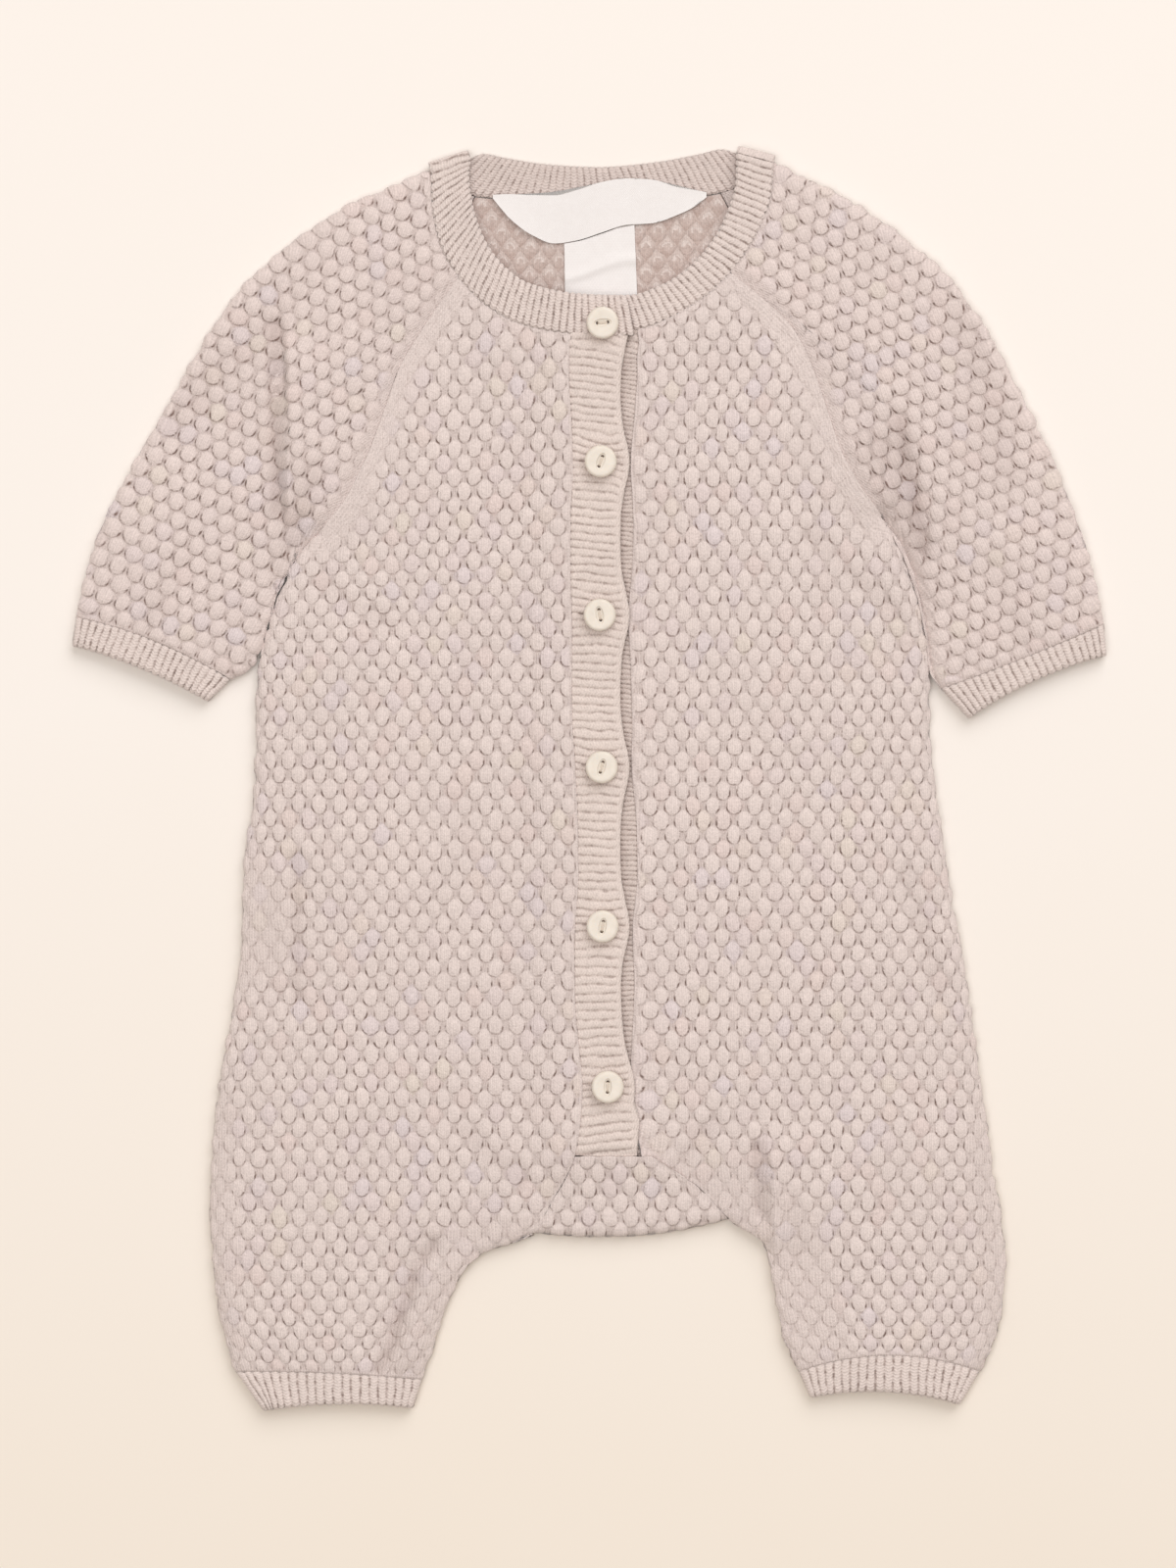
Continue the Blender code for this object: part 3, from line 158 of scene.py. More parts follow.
FOLDS = listed(
    Fold,
    ("right armhole", -94.5, 138.0, -94.5, 80.0, 2.4, 15.0, 1.8),
    ("left armhole", 95.5, 84.0, 85.0, 112.0, 2.2, 12.0, 1.8),
    ("left side over the sleeve", 102.5, 46.0, 93.0, 76.0, 1.2, 10.0, 3.0),
    ("left shoulder hollow", 92.0, 118.0, 84.0, 148.0, 0.9, 7.0, 9.0),
    ("right leg crease, upper", -52.0, -148.0, -60.5, -167.0, -1.3, 3.5, 4.5),
    ("right leg crease, lower", -60.5, -167.0, -66.5, -186.0, -1.5, 3.0, 4.0),
    ("right leg inner roll", -50.0, -156.0, -58.0, -186.0, 1.1, 5.0, 4.0),
    ("left leg inner roll", 57.5, -114.0, 59.5, -150.0, 1.9, 12.0, 2.0),
    ("right hip", -90.0, -48.0, -93.0, -70.0, 0.7, 6.0, 6.0),
    ("left waist", 88.0, -12.0, 96.0, -60.0, 0.6, 9.0, 8.0),
    ("left chest", 60.0, 84.0, 78.0, 60.0, 0.7, 9.0, 9.0),
)


def blend(t):
    """Goes smoothly from 0 to 1 as t does."""
    t = np.clip(t, 0.0, 1.0)
    return t * t * (3.0 - 2.0 * t)


def ease(value, start, end):
    """0 on the near side of start and 1 on the far side of end, with a smooth change between."""
    return blend((value - start) / (end - start))


def partly(value, least, start, end):
    """The same, but going up from a least share."""
    return least + (1.0 - least) * ease(value, start, end)


def near(distance, reach=SEAM_REACH):
    """1 on a line and 0 from its reach on."""
    return (1.0 - np.clip(distance / reach, 0.0, 1.0)) ** 2


def hump(offset, width):
    """1 in the middle, falling away smoothly to both sides."""
    return np.exp(-((offset / width) ** 2))


def units(vectors):
    """The same directions, each with a length of 1."""
    return vectors / np.linalg.norm(vectors, axis=1)[:, None]


def stations(points):
    """How far along a line each of its points lies."""
    steps = np.linalg.norm(np.diff(points, axis=0), axis=1)
    return np.concatenate([[0.0], np.cumsum(steps)])


def shares_of(points):
    """The same, as shares of the line's length."""
    where = stations(points)
    return where / where[-1]


def through(rows, where, at):
    """A smooth line through the rows, which never goes outside two neighbouring rows' values."""
    rows = np.asarray(rows, float)
    step = np.diff(where)[:, None]
    slope = np.diff(rows, axis=0) / step
    turn = slope[:-1] * slope[1:]
    weight_a = 2.0 * step[1:] + step[:-1]
    weight_b = step[1:] + 2.0 * step[:-1]
    safe = np.where(turn > 0.0, 1.0, 0.0)
    first = np.where(safe > 0, slope[:-1], 1.0)
    second = np.where(safe > 0, slope[1:], 1.0)
    inner = safe * (weight_a + weight_b) / (weight_a / first + weight_b / second)
    tangent = np.vstack([slope[:1], inner, slope[-1:]])
    k = np.clip(np.searchsorted(where, at, side="right") - 1, 0, len(where) - 2)
    h = step[k]
    t = ((at - where[k]) / h[:, 0])[:, None]
    return (
        rows[k] * (1 + 2 * t) * (1 - t) ** 2
        + rows[k + 1] * t * t * (3 - 2 * t)
        + h * tangent[k] * t * (1 - t) ** 2
        + h * tangent[k + 1] * t * t * (t - 1)
    )


def numbers(table):
    """The numeric columns of a table, without its names."""
    return np.array([[v for v in row if not isinstance(v, str)] for row in table], float)


def named_row(table, name):
    return next(i for i, row in enumerate(table) if row.name == name)


def rows_and_places(table):
    """A table's numbers, and how far along its middle each row lies."""
    rows = numbers(table)
    return rows, stations((rows[:, :2] + rows[:, 2:]) / 2)


def sections(table, step=ROW_STEP):
    """The table's rows with smooth ones between, about a step apart, and where its own rows come."""
    rows, where = rows_and_places(table)
    parts = [max(1, round(length / step)) for length in np.diff(where)]
    at = np.concatenate([np.linspace(a, b, n, endpoint=False) for a, b, n in zip(where, where[1:], parts)])
    at = np.append(at, where[-1])
    return through(rows, where, at), np.concatenate([[0], np.cumsum(parts)])


def curve(table, count=None, at=None):
    """Points along a smooth line through a table of points, evenly spread or at given shares of it."""
    rows = np.asarray(table, float)
    where = stations(rows)
    shares = np.linspace(0.0, 1.0, count) if at is None else np.asarray(at)
    return through(rows, where, shares * where[-1])


def bowed(a, b, bow, at):
    """A line from a to b, bowed to its left, or up where it runs towards +X."""
    a, b = np.asarray(a, float), np.asarray(b, float)
    along = (b - a) / np.linalg.norm(b - a)
    side = np.array([-along[1], along[0]])
    side *= math.copysign(1.0, side[1])
    at = np.asarray(at)[:, None]
    return a + (b - a) * at + side * bow * 4.0 * at * (1.0 - at)


RIGHT_ROWS, RIGHT_MARKS = sections(RIGHT_FRONT)
LEFT_ROWS, LEFT_MARKS = sections(LEFT_FRONT)
CROTCH, PLACKET, UNDERARM = (named_row(RIGHT_FRONT, name) for name in ("crotch", "placket", "underarm"))
CROTCH_BOW = -3.1


def neck_seam(table, start, end, count):
    """Points on the neckband's sewn edge between two named rows of one of its tables."""
    rows, where = rows_and_places(table)
    at = np.linspace(where[named_row(table, start)], where[named_row(table, end)], count)
    return through(rows, where, at)[:, 2:]


def crotch_line(count):
    a, b = RIGHT_ROWS[RIGHT_MARKS[CROTCH], 2:], LEFT_ROWS[LEFT_MARKS[CROTCH], 2:]
    return bowed(a, b, CROTCH_BOW, np.linspace(0.0, 1.0, count))


def left_sleeve_lower(apart=SLEEVE_TO_SIDE):
    """The left sleeve's lower edge, which lies against the body's side from cuff to underarm."""
    side = LEFT_ROWS[LEFT_MARKS[named_row(LEFT_FRONT, "bust")] : LEFT_MARKS[UNDERARM] + 1, :2]
    along = units(np.gradient(side, axis=0))
    apart = np.full(len(side), apart)
    apart[-1] = 0.0
    outwards = np.column_stack([along[:, 1], -along[:, 0]])
    return np.vstack([LEFT_SLEEVE_CORNER, side + outwards * apart[:, None]])


# The lines where cloth rounds over from front to back, each with the garment on its left.
EDGES = {
    "right side": RIGHT_ROWS[: RIGHT_MARKS[UNDERARM] + 1, :2][::-1],
    "left side": LEFT_ROWS[: LEFT_MARKS[UNDERARM] + 1, :2],
    "right inseam": RIGHT_ROWS[: RIGHT_MARKS[CROTCH] + 1, 2:],
    "left inseam": LEFT_ROWS[: LEFT_MARKS[CROTCH] + 1, 2:][::-1],
    "crotch": crotch_line(EDGE_POINTS),
    "right sleeve upper": curve(RIGHT_SLEEVE_UPPER, EDGE_POINTS)[::-1],
    "right sleeve lower": curve(RIGHT_SLEEVE_LOWER, EDGE_POINTS),
    "left sleeve upper": curve(LEFT_SLEEVE_UPPER, EDGE_POINTS),
    "left sleeve lower": curve(left_sleeve_lower(), EDGE_POINTS)[::-1],
}


def nearest(points, edge):
    """Distance from each point to a line of points, and the direction from the line to the point."""
    flat = points.reshape(-1, 2)
    best = np.full(len(flat), np.inf)
    away = np.zeros_like(flat)
    for a, b in zip(edge, edge[1:]):
        along = b - a
        t = np.clip((flat - a) @ along / (along @ along), 0.0, 1.0)
        offset = flat - (a + t[:, None] * along)
        distance = np.linalg.norm(offset, axis=1)
        length = math.hypot(*along)
        normal = np.array([-along[1], along[0]]) / length
        beyond = (distance > ON_EDGE)[:, None]
        direction = np.where(beyond, offset / np.maximum(distance, ON_EDGE)[:, None], normal)
        closer = distance < best - 1e-9
        best = np.where(closer, distance, best)
        away = np.where(closer[:, None], direction, away)
    return best.reshape(points.shape[:-1]), away.reshape(points.shape)


def nearest_of(points, edges):
    """The same for several lines."""
    best = np.full(points.shape[:-1], np.inf)
    away = np.zeros(points.shape)
    for edge in edges:
        distance, direction = nearest(points, edge)
        closer = distance < best
        best = np.where(closer, distance, best)
        away = np.where(closer[..., None], direction, away)
    return best, away


def distance_to(points, *lines):
    """Distance from each point to the nearest of some lines."""
    return nearest_of(points, lines)[0]


def edges_of(*names):
    return [EDGES[name] for name in names]


def relief(points):
    """How far the front layer stands above its lowest level: fuller inside the outline, higher at folds."""
    height = PUFF * blend(distance_to(points, *EDGES.values()) / PUFF_REACH)
    for fold in FOLDS:
        start = np.array([fold.x0, fold.y0])
        along = np.array([fold.x1, fold.y1]) - start
        length = math.hypot(*along)
        along /= length
        run = (points - start) @ along
        across = (points - start) @ np.array([-along[1], along[0]])
        width = np.where(across > 0.0, fold.left, fold.right)
        taper = blend((run + FOLD_OVER) / FOLD_FADE) * blend((length + FOLD_OVER - run) / FOLD_FADE)
        height = height + fold.height * hump(across, width) * taper
    return height


def placket_rise(points):
    """The right front climbs on to the button band near its placket edge."""
    return OVERLAP_RISE * ease(points[..., 0], *RISE_X) * ease(points[..., 1], *RISE_Y)


def no_rise(points):
    return np.zeros(points.shape[:-1])


def upper_layer(plan, edges, wall, rise=no_rise, join=MID_HEIGHT + GAP / 2, seams=None):
    """Outer and inner points of cloth in the front layer, rounded down where it nears an edge."""
    cos, sin, away = rounding(plan, edges, seams)
    lift = (relief(plan) + rise(plan)) * sin
    outer = np.dstack([plan, join + (FRONT_INNER + wall - join) * sin + lift])
    inner = np.dstack([plan + away * (wall * cos)[..., None], join + (FRONT_INNER - join) * sin + lift])
    return outer, inner


def rounding(plan, edges, seams):
    """How steep the cloth stands at each point, and which way is inwards: along a seam where it has one."""
    distance, away = nearest_of(plan, edges)
    if seams is not None:
        away = np.where(np.isnan(seams), away, seams)
    cos = np.clip(1.0 - distance / EDGE_RADIUS, 0.0, 1.0)
    return cos, np.sqrt(1.0 - cos * cos), away


def unit(vector):
    return vector / np.linalg.norm(vector)


def no_seams(plan):
    return np.full(plan.shape, np.nan)


def row_seam(seams, plan, row):
    """Marks a row as a seam: inwards is then along the row, from each of its ends."""
    half = plan.shape[1] // 2
    seams[row, :half] = unit(plan[row, -1] - plan[row, 0])
    seams[row, half:] = unit(plan[row, 0] - plan[row, -1])
    return seams


def drawn_in(plan, first_row=0.0, last_row=0.0, first_column=0.0, last_column=0.0):
    """The same grid with its edges moved in, each by its own distance square to that edge."""
    moved = plan.copy()
    sides = (
        (first_row, np.s_[0, :], np.s_[1, :]),
        (last_row, np.s_[-1, :], np.s_[-2, :]),
        (first_column, np.s_[:, 0], np.s_[:, 1]),
        (last_column, np.s_[:, -1], np.s_[:, -2]),
    )
    for amount, edge, next_in in sides:
        if not np.any(amount):
            continue
        line = plan[edge]
        along = units(np.gradient(line, axis=0))
        inward = plan[next_in] - line
        inward /= np.maximum(np.linalg.norm(inward, axis=1), 1e-9)[:, None]
        square = np.abs(along[:, 0] * inward[:, 1] - along[:, 1] * inward[:, 0])
        moved[edge] += inward * (np.asarray(amount) / np.maximum(square, 0.35))[..., None]
    return moved


def edge_shares(width, middle):
    """Shares of a row's width: close together at each end, where the cloth rounds over, and even between."""
    steps = np.array(EDGE_STEPS) / width
    between = np.linspace(steps[-1], 1.0 - steps[-1], middle + 2)[1:-1]
    return np.concatenate([steps, between, 1.0 - steps[::-1]])


def rows_between(ends, middle):
    """A grid with a straight row of points between the two ends of each section."""
    grid = []
    for ax, ay, bx, by in ends:
        shares = edge_shares(math.hypot(bx - ax, by - ay), middle)[:, None]
        grid.append(np.array([ax, ay]) + shares * np.array([bx - ax, by - ay]))
    return np.array(grid)


def bend_row(plan, index, target, reach):
    """Moves one end row on to a curve, and the rows near it part of the way."""
    shift = target - plan[index]
    base = plan[index].mean(axis=0)
    for row in plan:
        row += shift * (1.0 - blend(np.linalg.norm(row.mean(axis=0) - base) / reach))
    return plan


def bend_to_cuff(plan, bow):
    """Bends a leg's lowest rows with the seam of its cuff."""
    return bend_row(plan, 0, bowed(plan[0, 0], plan[0, -1], bow, shares_of(plan[0])), CUFF_REACH)


def front_plan(rows, marks, neck_table, neck_rows, ankle_bow, gap=1.0):
    """A front from above: rows from the ankle up to the neck, each from the side to the placket or inseam.

    gap is the share of its clearance that the cloth keeps to its seams. The outer face closes them.
    """
    plan = bend_to_cuff(rows_between(rows, FRONT_COLUMNS), ankle_bow)
    neckline = curve(neck_seam(neck_table, *neck_rows, EDGE_POINTS), at=shares_of(plan[-1]))
    plan = bend_row(plan, -1, neckline, NECK_REACH)
    crotch, underarm = marks[CROTCH], marks[UNDERARM]
    sewn_side = np.where(np.arange(len(plan)) >= underarm, GAP / 2, 0.0)
    sewn_inner = np.where(np.arange(len(plan)) > crotch, GAP / 2, 0.0)
    plan = drawn_in(plan, gap * CUFF_GAP, gap * CURVE_GAP, gap * sewn_side, gap * sewn_inner)
    seams = row_seam(no_seams(plan), plan, 0)
    seams[crotch, -1] = unit(plan[crotch + 1, -1] - plan[crotch, -1])
    seams[underarm, 0] = unit(plan[underarm + 1, 0] - plan[underarm, 0])
    return plan, seams


def finer_steps(where, size, first=False, last=False):
    """Where finer points go, about a size apart, and which of them are the coarse ones."""
    spans = [np.linspace(0.0, 1.0, max(1, round(width / size)), endpoint=False) for width in np.diff(where)]
    if first:
        spans[0] = np.array(ROLL_SHARES)
    if last:
        spans[-1] = np.append(0.0, 1.0 - np.array(ROLL_SHARES[:0:-1]))
    at = [a + (b - a) * span for a, b, span in zip(where, where[1:], spans)]
    return np.append(np.concatenate(at), where[-1]), np.concatenate([[0], np.cumsum([len(s) for s in spans])])


def finer(plan, size, down=None, across=None, rolled=(True, True)):
    """The same cloth with points about a size apart, and which of its rows and columns are the coarse ones.

    down and across are how far along its rows and columns lie, and rolled says which sides are rolled over.
    """
    down = stations(plan[:, plan.shape[1] // 2]) if down is None else down
    across = stations(plan[len(plan) // 2]) if across is None else across
    row_at, rows = finer_steps(down, size)
    column_at, columns = finer_steps(across, size, *rolled)
    grid = through(plan.reshape(len(plan), -1), down, row_at).reshape(len(row_at), -1, 2)
    turned = grid.transpose(1, 0, 2).reshape(plan.shape[1], -1)
    grid = through(turned, across, column_at).reshape(len(column_at), len(row_at), 2)
    return grid.transpose(1, 0, 2), rows, columns


def fine_layer(layer, plan, coarse, at, edges, seams=None, wall=KNIT_WALL, **how):
    """A layer's fine outer face, and its lining, which keeps the coarse cloth's points where it has them."""
    outer, lining = layer(plan, edges, wall, **how)
    _, lining[np.ix_(*at)] = layer(coarse, edges, wall, seams=seams, **how)
    return outer, lining


def placed(name, mesh):
    """An object made of a mesh or other data, in the scene."""
    made = bpy.data.objects.new(name, mesh)
    bpy.context.collection.objects.link(made)
    return made


def shell(name, outer, lining, rows, columns, marks, present=None, fine=None, ring=False):
    """A thin closed wall of cloth: a fine outer face, a lining that is coarse where it isn't seen, and rims.

    outer and lining are fine grids of points. rows and columns say which of theirs are the coarse ones.
    present and fine have a value for each coarse cell. marks are the point attributes, a grid for each face.
    """
    count, wide = outer.shape[:2]
    across = len(columns) if ring else len(columns) - 1
    shape = (len(rows) - 1, across)
    present = np.ones(shape, bool) if present is None else present
    fine = np.zeros(shape, bool) if fine is None else np.broadcast_to(fine, shape)
    tall_by, wide_by = np.diff(rows), np.diff(np.append(columns, wide) if ring else columns)
    grid = np.arange(count * wide).reshape(count, wide)
    around = np.concatenate([grid, grid[:, :1]], axis=1) if ring else grid
    under = around + count * wide
    edges = np.append(columns, wide) if ring else columns

    def squares(points, cells):
        """The fine squares of the coarse cells that are asked for."""
        wanted = np.repeat(np.repeat(cells, tall_by, axis=0), wide_by, axis=1)
        corners = np.stack([points[:-1, :-1], points[:-1, 1:], points[1:, 1:], points[1:, :-1]], axis=-1)
        return corners[wanted]

    faces = squares(around, present).tolist() + squares(under, present & fine)[:, ::-1].tolist()
    for r, c in np.argwhere(present):
        low, high, left, right = rows[r], rows[r + 1], edges[c], edges[c + 1]
        sides = (
            ((r - 1, c), np.s_[low, left : right + 1], 1),
            ((r, c + 1), np.s_[low : high + 1, right], 1),
            ((r + 1, c), np.s_[high, left : right + 1], -1),
            ((r, c - 1), np.s_[low : high + 1, left], -1),
        )
        outline = []
        for (next_r, next_c), line, way in sides:
            next_c = next_c % across if ring else next_c
            inside = 0 <= next_r < shape[0] and 0 <= next_c < across and present[next_r, next_c]
            upper, lower = around[line][::way], under[line][::way]
            detailed = fine[r, c] or (inside and fine[next_r, next_c])
            outline.extend(lower[:-1] if detailed else lower[:1])
            if not inside:
                faces.append([*upper[::-1], *(lower if detailed else lower[[0, -1]])])
        if not fine[r, c]:
            faces.append(outline[::-1])
    used = np.unique(np.concatenate([np.asarray(face) for face in faces]))
    place = np.zeros(2 * count * wide, int)
    place[used] = np.arange(len(used))
    points = np.concatenate([outer.reshape(-1, 3), lining.reshape(-1, 3)])[used] * MM
    mesh = bpy.data.meshes.new(name)
    mesh.from_pydata(points.tolist(), [], [place[face].tolist() for face in faces])
    for mark, (on_outer, on_lining) in marks.items():
        values = np.concatenate([on_outer.reshape(-1, 3), on_lining.reshape(-1, 3)])[used]
        attribute = mesh.attributes.new(mark, "FLOAT_VECTOR", "POINT")
        attribute.data.foreach_set("vector", values.astype(np.float32).ravel())
    body = bmesh.new()
    body.from_mesh(mesh)
    if body.calc_volume(signed=True) < 0.0:
        bmesh.ops.reverse_faces(body, faces=body.faces)
        body.to_mesh(mesh)
    body.free()
    mesh.shade_smooth()
    return placed(name, mesh)


def linear(code):
    """An sRGB hex colour as linear light, with full cover."""
    values = [int(code[i : i + 2], 16) / 255.0 for i in (1, 3, 5)]
    return (*[v / 12.92 if v <= 0.04045 else ((v + 0.055) / 1.055) ** 2.4 for v in values], 1.0)


def lighter(code, step):
    """The same sRGB hex colour, lighter by a few steps in each part."""
    return "#" + "".join(f"{min(255, int(code[i : i + 2], 16) + step):02x}" for i in (1, 3, 5))


def add(tree, kind, *links, **settings):
    """Adds a node. Each link goes to the input in its place: a node, a socket, a value, or None for none."""
    node = tree.nodes.new(kind)
    for name, value in settings.items():
        setattr(node, name, value)
    for socket, link in zip(node.inputs, links):
        if isinstance(link, bpy.types.Node):
            link = next(output for output in link.outputs if output.enabled)
        if isinstance(link, bpy.types.NodeSocket):
            tree.links.new(link, socket)
        elif link is not None:
            socket.default_value = link
    return node


def work_out(tree, steps, known):
    """Adds a Math node for each step: the words are its result, its operation and what goes in."""
    known = dict(known)
    for step in steps:
        name, operation, *links = step.split()
        found = [known[link] if link in known else float(link) for link in links]
        known[name] = add(tree, "ShaderNodeMath", *found, operation=operation)
    return known


def held(name, value, low, high):
    """Steps that keep a value from going below one number and above another."""
    return f"{name}_low MAXIMUM {value} {low}", f"{name} MINIMUM {name}_low {high}"


def bell(name, value, middle, width):
    """Steps to a result that is 1 where the value is at its middle, and falls away to both sides."""
    return (
        f"{name}_off SUBTRACT {value} {middle}",
        f"{name}_wide DIVIDE {name}_off {width}",
        f"{name}_square MULTIPLY {name}_wide {name}_wide",
        f"{name}_minus MULTIPLY {name}_square -1.0",
        f"{name} EXPONENT {name}_minus",
    )


# Chains of bubbles stand side by side, each half a bubble higher than the next. A point belongs to the nearer
# of the bubbles on the two chains beside it: out is 0 at its middle and 1 at its outline, up is 1 at its top.
# A bubble's luck, from 0 to 1, comes from numbers that no row or chain repeats.
OVAL = 2.15
BUBBLES = (
    "x DIVIDE u spacing",
    "chain FLOOR x",
    "near_part SUBTRACT x chain",
    "far_part SUBTRACT 1.0 near_part",
    "climb DIVIDE v row",
    "half_chain MULTIPLY chain 0.5",
    "near_count MULTIPLY_ADD climb 0.5 half_chain",
    "far_count ADD near_count 0.5",
    "rise DIVIDE row tall",
    "stretch MULTIPLY rise 2.0",
    "narrow DIVIDE spacing wide",
    *(step for side in ("near", "far") for step in (
        f"{side}_turn WRAP {side}_count 0.5 -0.5",
        f"{side}_up MULTIPLY {side}_turn stretch",
        f"{side}_u MULTIPLY {side}_part narrow",
        f"{side}_v ABSOLUTE {side}_up",
        f"{side}_uu POWER {side}_u {OVAL}",
        f"{side}_vv POWER {side}_v {OVAL}",
        f"{side}_sum ADD {side}_uu {side}_vv",
        f"{side} POWER {side}_sum {1.0 / OVAL}",
    )),
    "other LESS_THAN far near",
    "nearer MINIMUM near far",
    "up_step SUBTRACT far_up near_up",
    "up MULTIPLY_ADD up_step other near_up",
    "own_chain ADD chain other",
    "own_count MULTIPLY_ADD other 0.5 near_count",
    "bubble ROUND own_count",
    "luck_a MULTIPLY own_chain 0.618",
    "luck_b MULTIPLY_ADD bubble 0.755 luck_a",
    "luck_c MULTIPLY own_chain bubble",
    "luck_d MULTIPLY_ADD luck_c 0.377 luck_b",
    "luck FRACT luck_d",
    "swell MULTIPLY_ADD luck 0.14 0.93",
    "out MULTIPLY nearer swell",
)
DOMES = (
    *BUBBLES,
    "within MINIMUM out 1.0",
    "bend POWER within 2.3",
    "fall SUBTRACT 1.0 bend",
    "dome POWER fall 0.8",
    "fullness MULTIPLY_ADD luck -0.3 1.1",
    "height MULTIPLY dome fullness",
)


def as_mesh(piece):
    """A plain mesh of a piece, with its modifiers worked out."""
    return bpy.data.meshes.new_from_object(piece.evaluated_get(bpy.context.evaluated_depsgraph_get()))


def grow(piece, tree_name, steps, sizes, material):
    """Raises a piece's stitches from its surface with Geometry Nodes, and leaves a plain mesh."""
    tree = bpy.data.node_groups.get(tree_name)
    if tree is None:
        tree = bpy.data.node_groups.new(tree_name, "GeometryNodeTree")
        inputs = {"Geometry": "Geometry", **dict.fromkeys(sizes, "Float"), "Material": "Material"}
        for size, kind in inputs.items():
            tree.interface.new_socket(size, in_out="INPUT", socket_type=f"NodeSocket{kind}")
        tree.interface.new_socket("Geometry", in_out="OUTPUT", socket_type="NodeSocketGeometry")
        given = tree.nodes.new("NodeGroupInput")
        known = {size: given.outputs[size] for size in sizes}
        for mark, parts in (("stitch", ("u", "v", "fade")), ("cloth", ("face", "base"))):
            read = add(tree, "GeometryNodeInputNamedAttribute", mark, data_type="FLOAT_VECTOR")
            known.update(zip(parts, add(tree, "ShaderNodeSeparateXYZ", read).outputs))
        lift = (
            "over SUBTRACT height base",
            "faded MULTIPLY over fade",
            "faced MULTIPLY faded face",
            f"deep MULTIPLY depth {MM}",
            "lift MULTIPLY faced deep",
        )
        known = work_out(tree, (*steps, *lift), known)
        normal = tree.nodes.new("GeometryNodeInputNormal")
        offset = add(tree, "ShaderNodeVectorMath", normal, None, None, known["lift"], operation="SCALE")
        moved = add(tree, "GeometryNodeSetPosition", given.outputs["Geometry"], None, None, offset)
        real = add(tree, "GeometryNodeRealizeInstances", moved)
        painted = add(tree, "GeometryNodeSetMaterial", real, None, given.outputs["Material"])
        add(tree, "NodeGroupOutput", painted)
    modifier = piece.modifiers.new("stitches", "NODES")
    modifier.node_group = tree
    ids = {item.name: item.identifier for item in tree.interface.items_tree if item.in_out == "INPUT"}
    for size, value in sizes.items():
        modifier[ids[size]] = value
    modifier[ids["Material"]] = material
    made = as_mesh(piece)
    piece.modifiers.clear()
    before, piece.data = piece.data, made
    made.name = piece.name
    bpy.data.meshes.remove(before)
    made.materials.clear()
    made.materials.append(material)
    made.shade_smooth()


# Fine stitches of the yarn: wales side by side, each a column of V shapes.
WALE, COURSE = 1.12, 0.95
FULL_TURN = 2.0 * math.pi
STITCHES = (
    f"wale DIVIDE a {WALE}",
    "wale_part FRACT wale",
    "off SUBTRACT wale_part 0.5",
    "leg ABSOLUTE off",
    f"course DIVIDE b {COURSE}",
    "lean MULTIPLY_ADD leg 1.3 course",
    f"lean_turn MULTIPLY lean {FULL_TURN}",
    "v_shape COSINE lean_turn",
    f"wale_turn MULTIPLY off {FULL_TURN}",
    "column COSINE wale_turn",
    "v_part MULTIPLY v_shape 0.35",
    "yarn MULTIPLY_ADD column 0.65 v_part",
)


def new_material(name):
    """A material with its nodes, and the shader that they lead to."""
    made = bpy.data.materials.new(name)
    made.use_nodes = True
    return made, made.node_tree, made.node_tree.nodes["Principled BSDF"]


def mark_parts(tree, mark):
    """The three values of one of the cloth's point attributes."""
    read = add(tree, "ShaderNodeAttribute", attribute_name=mark)
    return add(tree, "ShaderNodeSeparateXYZ", read.outputs["Vector"]).outputs


def dress(tree, shader, colour, own, height=None, bump=(1.0, MM)):
    """Gives a shader its colour and own values, and a bump of a strength and depth where it has a height."""
    tree.links.new(colour, shader.inputs["Base Color"])
    if height is not None:
        raised = add(tree, "ShaderNodeBump", *bump)
        tree.links.new(height.outputs[0], raised.inputs["Height"])
        tree.links.new(raised.outputs[0], shader.inputs["Normal"])
    for name, value in own.items():
        shader.inputs[name].default_value = value


def mixed(tree, share, first, second):
    """Two colours mixed by a share of the second."""
    return add(tree, "ShaderNodeMix", share, *[None] * 5, first, second, data_type="RGBA").outputs[2]


def toned(tree, colour, tone):
    """A colour made darker or lighter by a tone."""
    return add(tree, "ShaderNodeVectorMath", colour, None, None, tone, operation="SCALE").outputs[0]


def noises(tree, sizes):
    """Noises through a piece by their names, each from its scale, detail and roughness."""
    place = add(tree, "ShaderNodeTexCoord").outputs["Object"]
    return {name: add(tree, "ShaderNodeTexNoise", place, None, *size) for name, size in sizes.items()}


WOOL = {"Roughness": 0.95, "Specular IOR Level": 0.15, "Sheen Weight": 0.5, "Sheen Roughness": 0.45}
# The first colour is painted shade, which the bubbles' outlines, the ground between them and the creases are
# darkened towards; the second is the wrong side's own colour.
GROOVE_SHADE_COLOUR, WRONG_SIDE = "#816961", "#b0968c"
DYE_ENDS = "#e2d5d5", "#e5d8cf"  # the pinkest and the yellowest bubbles
DYE_NEXT = (0.08, "#e3d4d1"), (0.95, "#e4d3ce")
HATCH = 0.64  # how far apart the straight yarns of the ground are
# The wool's noise: loops of yarn 1.6 mm across, hairs drawn 0.7 mm across because the real ones are too fine
# to show, and changes of tone over 30 mm.
BUBBLE_NOISE = {"wobble": (620.0, 2.0, 0.6), "hair": (1500.0, 3.0, 0.7), "cloud": (34.0, 3.0, 0.55)}


